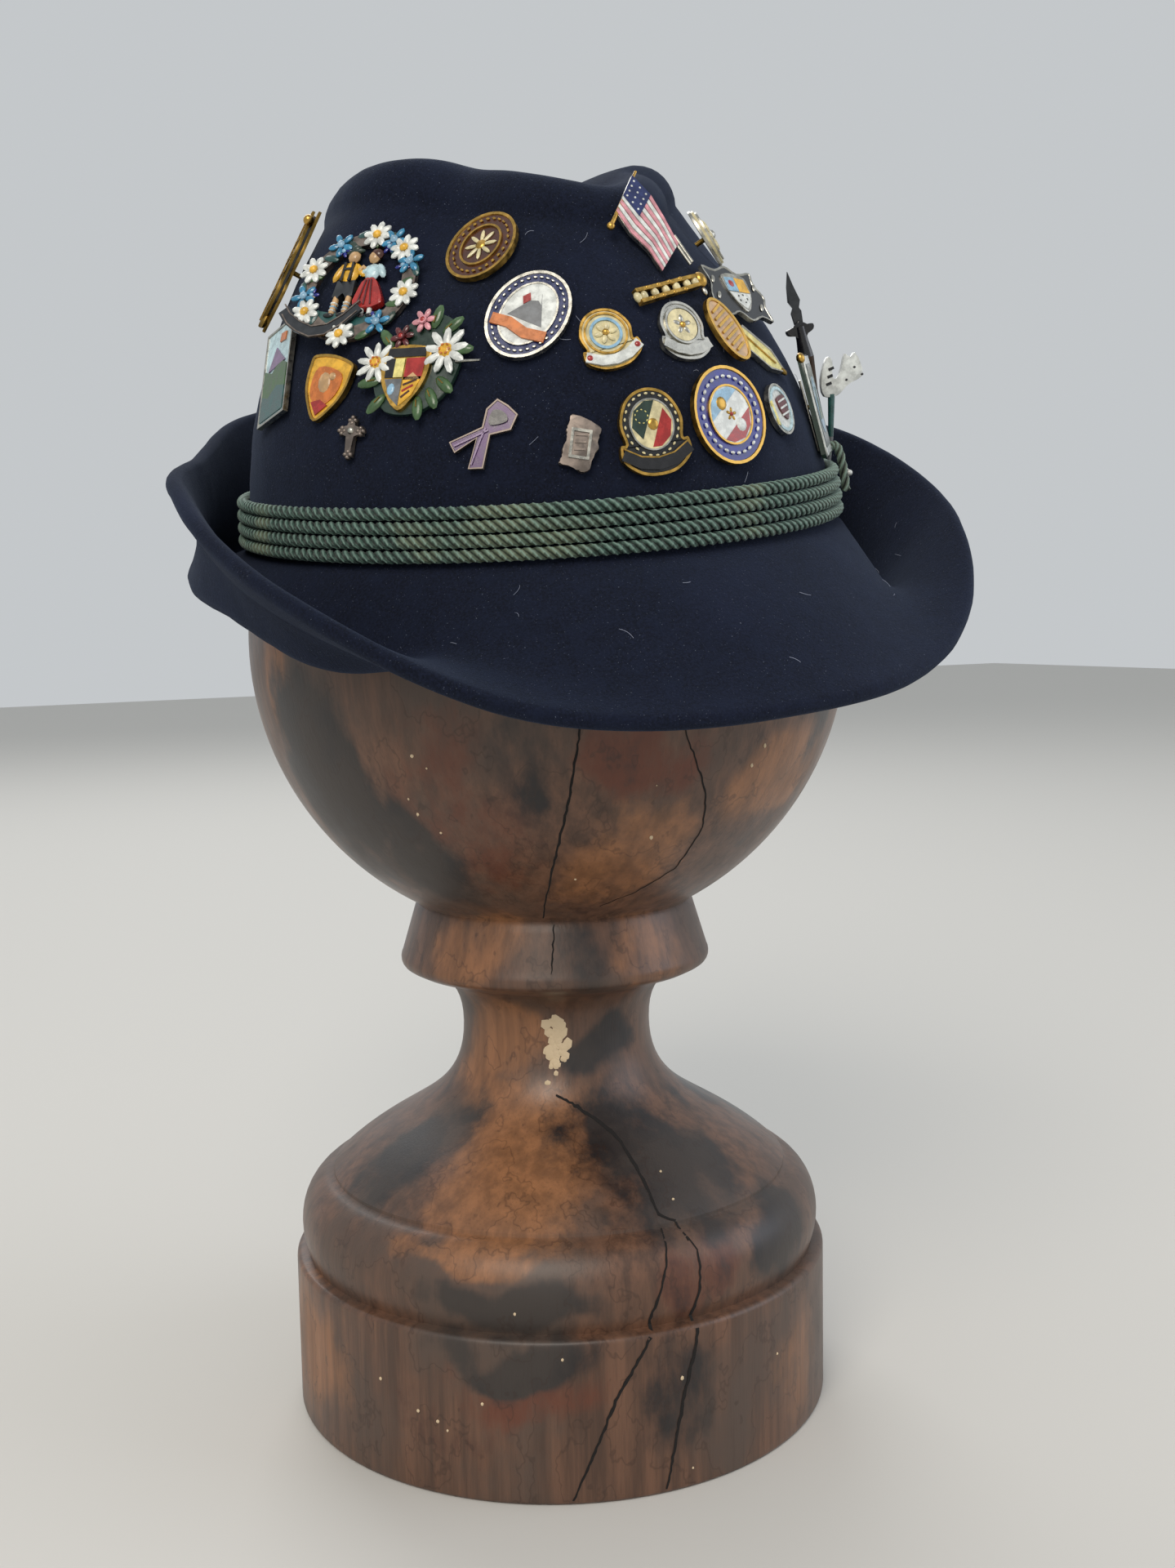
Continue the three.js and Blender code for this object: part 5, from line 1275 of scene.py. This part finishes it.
# A pale orange-gold oval with a milled face and a gold rim.
seat, post = seat_of("pin_gold_oval", 1.6, 13.2, 54, 20)
pin = bmesh.new()
plate(pin, oval(10.8, 18.4), 1.6, 0.8, 0.25, "gold", "tan")
for k in range(7):
    half = 3.4 * math.sqrt(1 - ((k - 3) / 4) ** 2)
    strip(pin, [(-half, (k - 3) * 1.9), (half, (k - 3) * 1.9 + 0.6)], 0.7, 1.2, 1.6, "gold")
pinned("gold_oval", pin, seat, post, "brass", "pin_gold_oval")

# A pale yellow pointed plate with a silver-white rim and a brass tip.
seat, post = seat_of("pin_yellow_plate", 1.6, 25.2, 48.5, -37)
pin = bmesh.new()
plate(pin, scaled(22.4, 8, [(-0.5, -0.1), (-0.4, -0.5), (0.16, -0.44), (0.5, 0.04), (0.2, 0.5),
                            (-0.4, 0.4)]), 1.6, 0.6, 0.2,
      "silver", "pale_yellow")
strip(pin, [(-8.6, 0), (-2, 0), (6, 0.1)], 0.4, 1.3, 1.58, "gold")
dome(pin, 10.2, 0.2, 1.0, 1.5, 0.9, 0.7, "old_gold")
pinned("yellow_point", pin, seat, post, "enamel_yellow", "pin_yellow_plate")

# A royal-blue disc with pale dots, a pale gold rim and a red, white and blue middle cut by a slanting bar.
seat, post = seat_of("pin_blue_ring", 1.8, 8.3, 33.9, 0)
pin = bmesh.new()
plate(pin, oval(24.6, 25.4), 1.8, 0.8, 0.3, "gold", "blue")
dots(pin, 19.0, 19.8, 1.65, 0.75, 28, "white")
hoop(pin, oval(15.2, 15.6), oval(14.2, 14.6), 1.2, 1.85, "gold")
slab(pin, oval(14.2, 14.6), 1.2, 1.62, "white")
slab(pin, [(-6.8, -1.4), (-6.2, 3), (-3.4, 6.2), (0.6, 7.1), (3.4, 6.2)], 1.5, 1.74, "sky")
slab(pin, [(6.8, 1.4), (6.2, -3), (3.4, -6.2), (-0.6, -7.1), (-3.4, -6.2)], 1.5, 1.74, "red")
dome(pin, -2.6, 3.0, 1.7, 1.8, 1.8, 0.4, "gold")
dome(pin, 3.0, -2.8, 1.7, 1.8, 1.8, 0.4, "white")
flower(pin, 0.2, 0.1, 1.6, 1.8, 5, "gold", "red", 10)
pinned("blue_disc", pin, seat, post, "enamel_blue", "pin_blue_ring")

# A white and pale blue oval with a small striped shield.
seat, post = seat_of("pin_white_oval", 1.6, 24.3, 33.9, 12)
pin = bmesh.new()
plate(pin, oval(12, 14), 1.6, 0.6, 0.2, "silver", "white")
hoop(pin, oval(10.2, 12.2), oval(8.6, 10.6), 1.2, 1.55, "pale_blue")
slab(pin, [(-5, -3), (-4, -3.6), (-3.8, 3.6), (-4.8, 3)], 1.3, 1.6, "pale_yellow")
small = [(x + 1.2, y) for x, y in rounded(mirrored(5.2, 6.8, SHIELD))]
slab(pin, small, 1.2, 1.66, "dark_red", 0.1)
for y in (-1.6, 0.2, 2.0):
    strip(pin, [(-0.9, y), (3.3, y)], 0.5, 1.5, 1.76, "white")
pinned("white_oval", pin, seat, post, "enamel_white", "pin_white_oval")

# A large green plate seen from its edge, with a white face, a brass lug and a silver needle behind it.
seat, post = seat_of("pin_large_plate", 2, 47.5, 33, 0, 0, 6)
pin = bmesh.new()
square = [(-0.5, -0.46), (-0.46, -0.5), (0.46, -0.5), (0.5, -0.46), (0.5, 0.46), (0.46, 0.5), (-0.46, 0.5),
          (-0.5, 0.46)]
slab(pin, scaled(25, 28.5, square), 0, 1.4, "dark_green", 0.2)
slab(pin, scaled(24.2, 27.7, square), 1.3, 1.8, "white", 0.1)
slab(pin, scaled(20.4, 23.4, square), 1.6, 1.95, "dark_green")
slab(pin, oval(14, 16), 1.8, 2.05, "sky")
slab(pin, [(-6, -4), (0, 5), (6, -4)], 1.9, 2.15, "green")
dome(pin, -11.6, 13.6, 1.0, 1.6, 1.6, 1.2, "gold")
rod(pin, (-13.4, 8, -0.6), (-9, -12, -0.6), 0.45, "silver", 0.3)
pinned("green_plate", pin, seat, post, "enamel_dark", "pin_large_plate")


def stick_seat(angle, stand, height):
    """A stick pin's frame beside the crown: x away from the crown, y up, z towards the front."""
    theta = math.radians(angle)
    out = round_point(theta, 1, 0)
    basis = Matrix((out, Vector((0, 0, 1)), out.cross(Vector((0, 0, 1))))).transposed().to_4x4()
    foot = round_point(theta, wall_radius(theta, height) + stand, height)
    return head_frame @ Matrix.Translation(foot) @ basis


# A stick pin in the shape of a halberd: a mottled shaft, a cross collar and a thin notched blade.
SPEAR_LENGTH = 50.0
SPEAR_LEAN_DEG = 12.0
SPEAR_STAND = 4.0
seat = stick_seat(67, SPEAR_STAND, 22) @ Matrix.Rotation(math.radians(SPEAR_LEAN_DEG), 4, "Z")
pin = bmesh.new()
for low_share, high_share, low_r, high_r, paint in ((0, 0.3, 1.2, 1.3, "bronze"),
                                                    (0.3, 0.5, 1.3, 2.4, "bronze"),
                                                    (0.5, 0.6, 2.4, 1.8, "black"),
                                                    (0.6, 0.68, 1.8, 1.6, "black")):
    rod(pin, (0, low_share * SPEAR_LENGTH, 0), (0, high_share * SPEAR_LENGTH, 0), low_r, paint, high_r)
slab(pin, rounded([(-3.8, 32.2), (-1.4, 31.4), (0, 30), (1.4, 31.4), (3.8, 32.4), (4.0, 34), (1.6, 34.4),
                   (0, 35.8),
                   (-1.6, 34.4), (-4.0, 33.8)]), -1.1, 1.1, "black", 0.3)
slab(pin, [(-1.3, 34.8), (1.3, 34.8), (1.6, 38.4), (0.9, 39.4), (1.9, 41.4), (0.8, 45.6), (0, 50),
           (-1.2, 45.8), (-1.8, 41.6),
           (-0.8, 39.6), (-1.6, 38.2)], -0.5, 0.5, "charcoal", 0.15)
rod(pin, (-SPEAR_STAND - 2.5, 4, 0), (0, 4, 0), 0.9, "bronze")
pinned("spear_stick", pin, seat, 0, "bronze", "pin_spear")

# A white animal's head on a green-grey stick, with a striped scarf and two pale tails.
seat = stick_seat(72.5, 9.6, 34.5)
FIGURE = [(0.1, 0), (0.42, 0.02), (0.6, 0.2), (0.74, 0.3), (0.98, 0.42), (1, 0.62), (0.84, 1), (0.72, 0.86),
          (0.6, 0.98),
          (0.5, 0.62), (0.4, 0.4), (0.28, 0.44), (0.3, 0.84), (0.16, 0.9), (0.02, 0.4)]
pin = bmesh.new()
slab(pin, rounded([((x - 0.1) * 13.5, y * 12.5) for x, y in FIGURE], 3), -0.8, 0.8, "white", 0.3)
for x, y in ((2.0, 3.4), (2.4, 5.6), (2.8, 7.8)):
    strip(pin, [(x - 1.5, y), (x + 0.2, y + 0.6)], 0.8, -0.9, 0.95, "black")
for x, y in ((9.6, 8.2), (12.0, 6.0), (7.0, 4.6)):
    dome(pin, x, y, 0.6, 0.6, 0.45, 0.4, "black", 0, 8)
rod(pin, (2.4, 0.6, 0), (2.0, -12, 0), 1.1, "teal", 0.8)
rod(pin, (2.0, -12, 0), (1.0, -22, 0), 0.8, "grey", 0.6)
rod(pin, (1.0, -21.4, 0), (-11, -21.4, 0), 0.6, "grey")
rod(pin, (4.6, -18, -0.6), (7.9, -23, -0.6), 0.35, "silver")
dome(pin, 8.1, -23.3, -0.6, 1.0, 1.0, 1.0, "white")
pinned("white_figure", pin, seat, 0, "enamel_white", "pin_white_figure")

# The floor is a plain pale sheet, lit by soft lamps at the upper left, in front and at the right.
floor_mesh = bmesh.new()
bmesh.ops.create_grid(floor_mesh, x_segments=1, y_segments=1, size=4)
floor_data = bpy.data.meshes.new("floor")
floor_mesh.to_mesh(floor_data)
floor_mesh.free()
floor = bpy.data.objects.new("floor", floor_data)
bpy.context.scene.collection.objects.link(floor)
floor_paint, tree, shader = material("pale_floor", Roughness=0.7, Base_Color=colour("c9c7c2"))
floor_data.materials.append(floor_paint)
LAMPS = [
    {"name": "key", "place": (-1.1, -1.2, 1.5), "size": 1.0, "power": 26.0, "tint": "fff6ea"},
    {"name": "fill", "place": (1.5, -1.0, 0.9), "size": 1.4, "power": 10.0, "tint": "eef3ff"},
    {"name": "back", "place": (0.4, 1.6, 1.6), "size": 1.2, "power": 14.0, "tint": "ffffff"},
]
for lamp in LAMPS:
    light = bpy.data.lights.new(lamp["name"], "AREA")
    light.size = lamp["size"]
    light.energy = lamp["power"]
    light.color = colour(lamp["tint"])[:3]
    holder = bpy.data.objects.new(lamp["name"], light)
    bpy.context.scene.collection.objects.link(holder)
    spot = Vector(lamp["place"])
    aim = Vector((0, 0, 0.2)) - spot
    holder.matrix_world = Matrix.Translation(spot) @ aim.to_track_quat("-Z", "Y").to_matrix().to_4x4()
world = bpy.data.worlds.new("studio")
bpy.context.scene.world = world
world.use_nodes = True
world.node_tree.nodes["Background"].inputs["Color"].default_value = colour("dfe3e6")
world.node_tree.nodes["Background"].inputs["Strength"].default_value = 0.75
bpy.context.scene.view_settings.view_transform = "Standard"
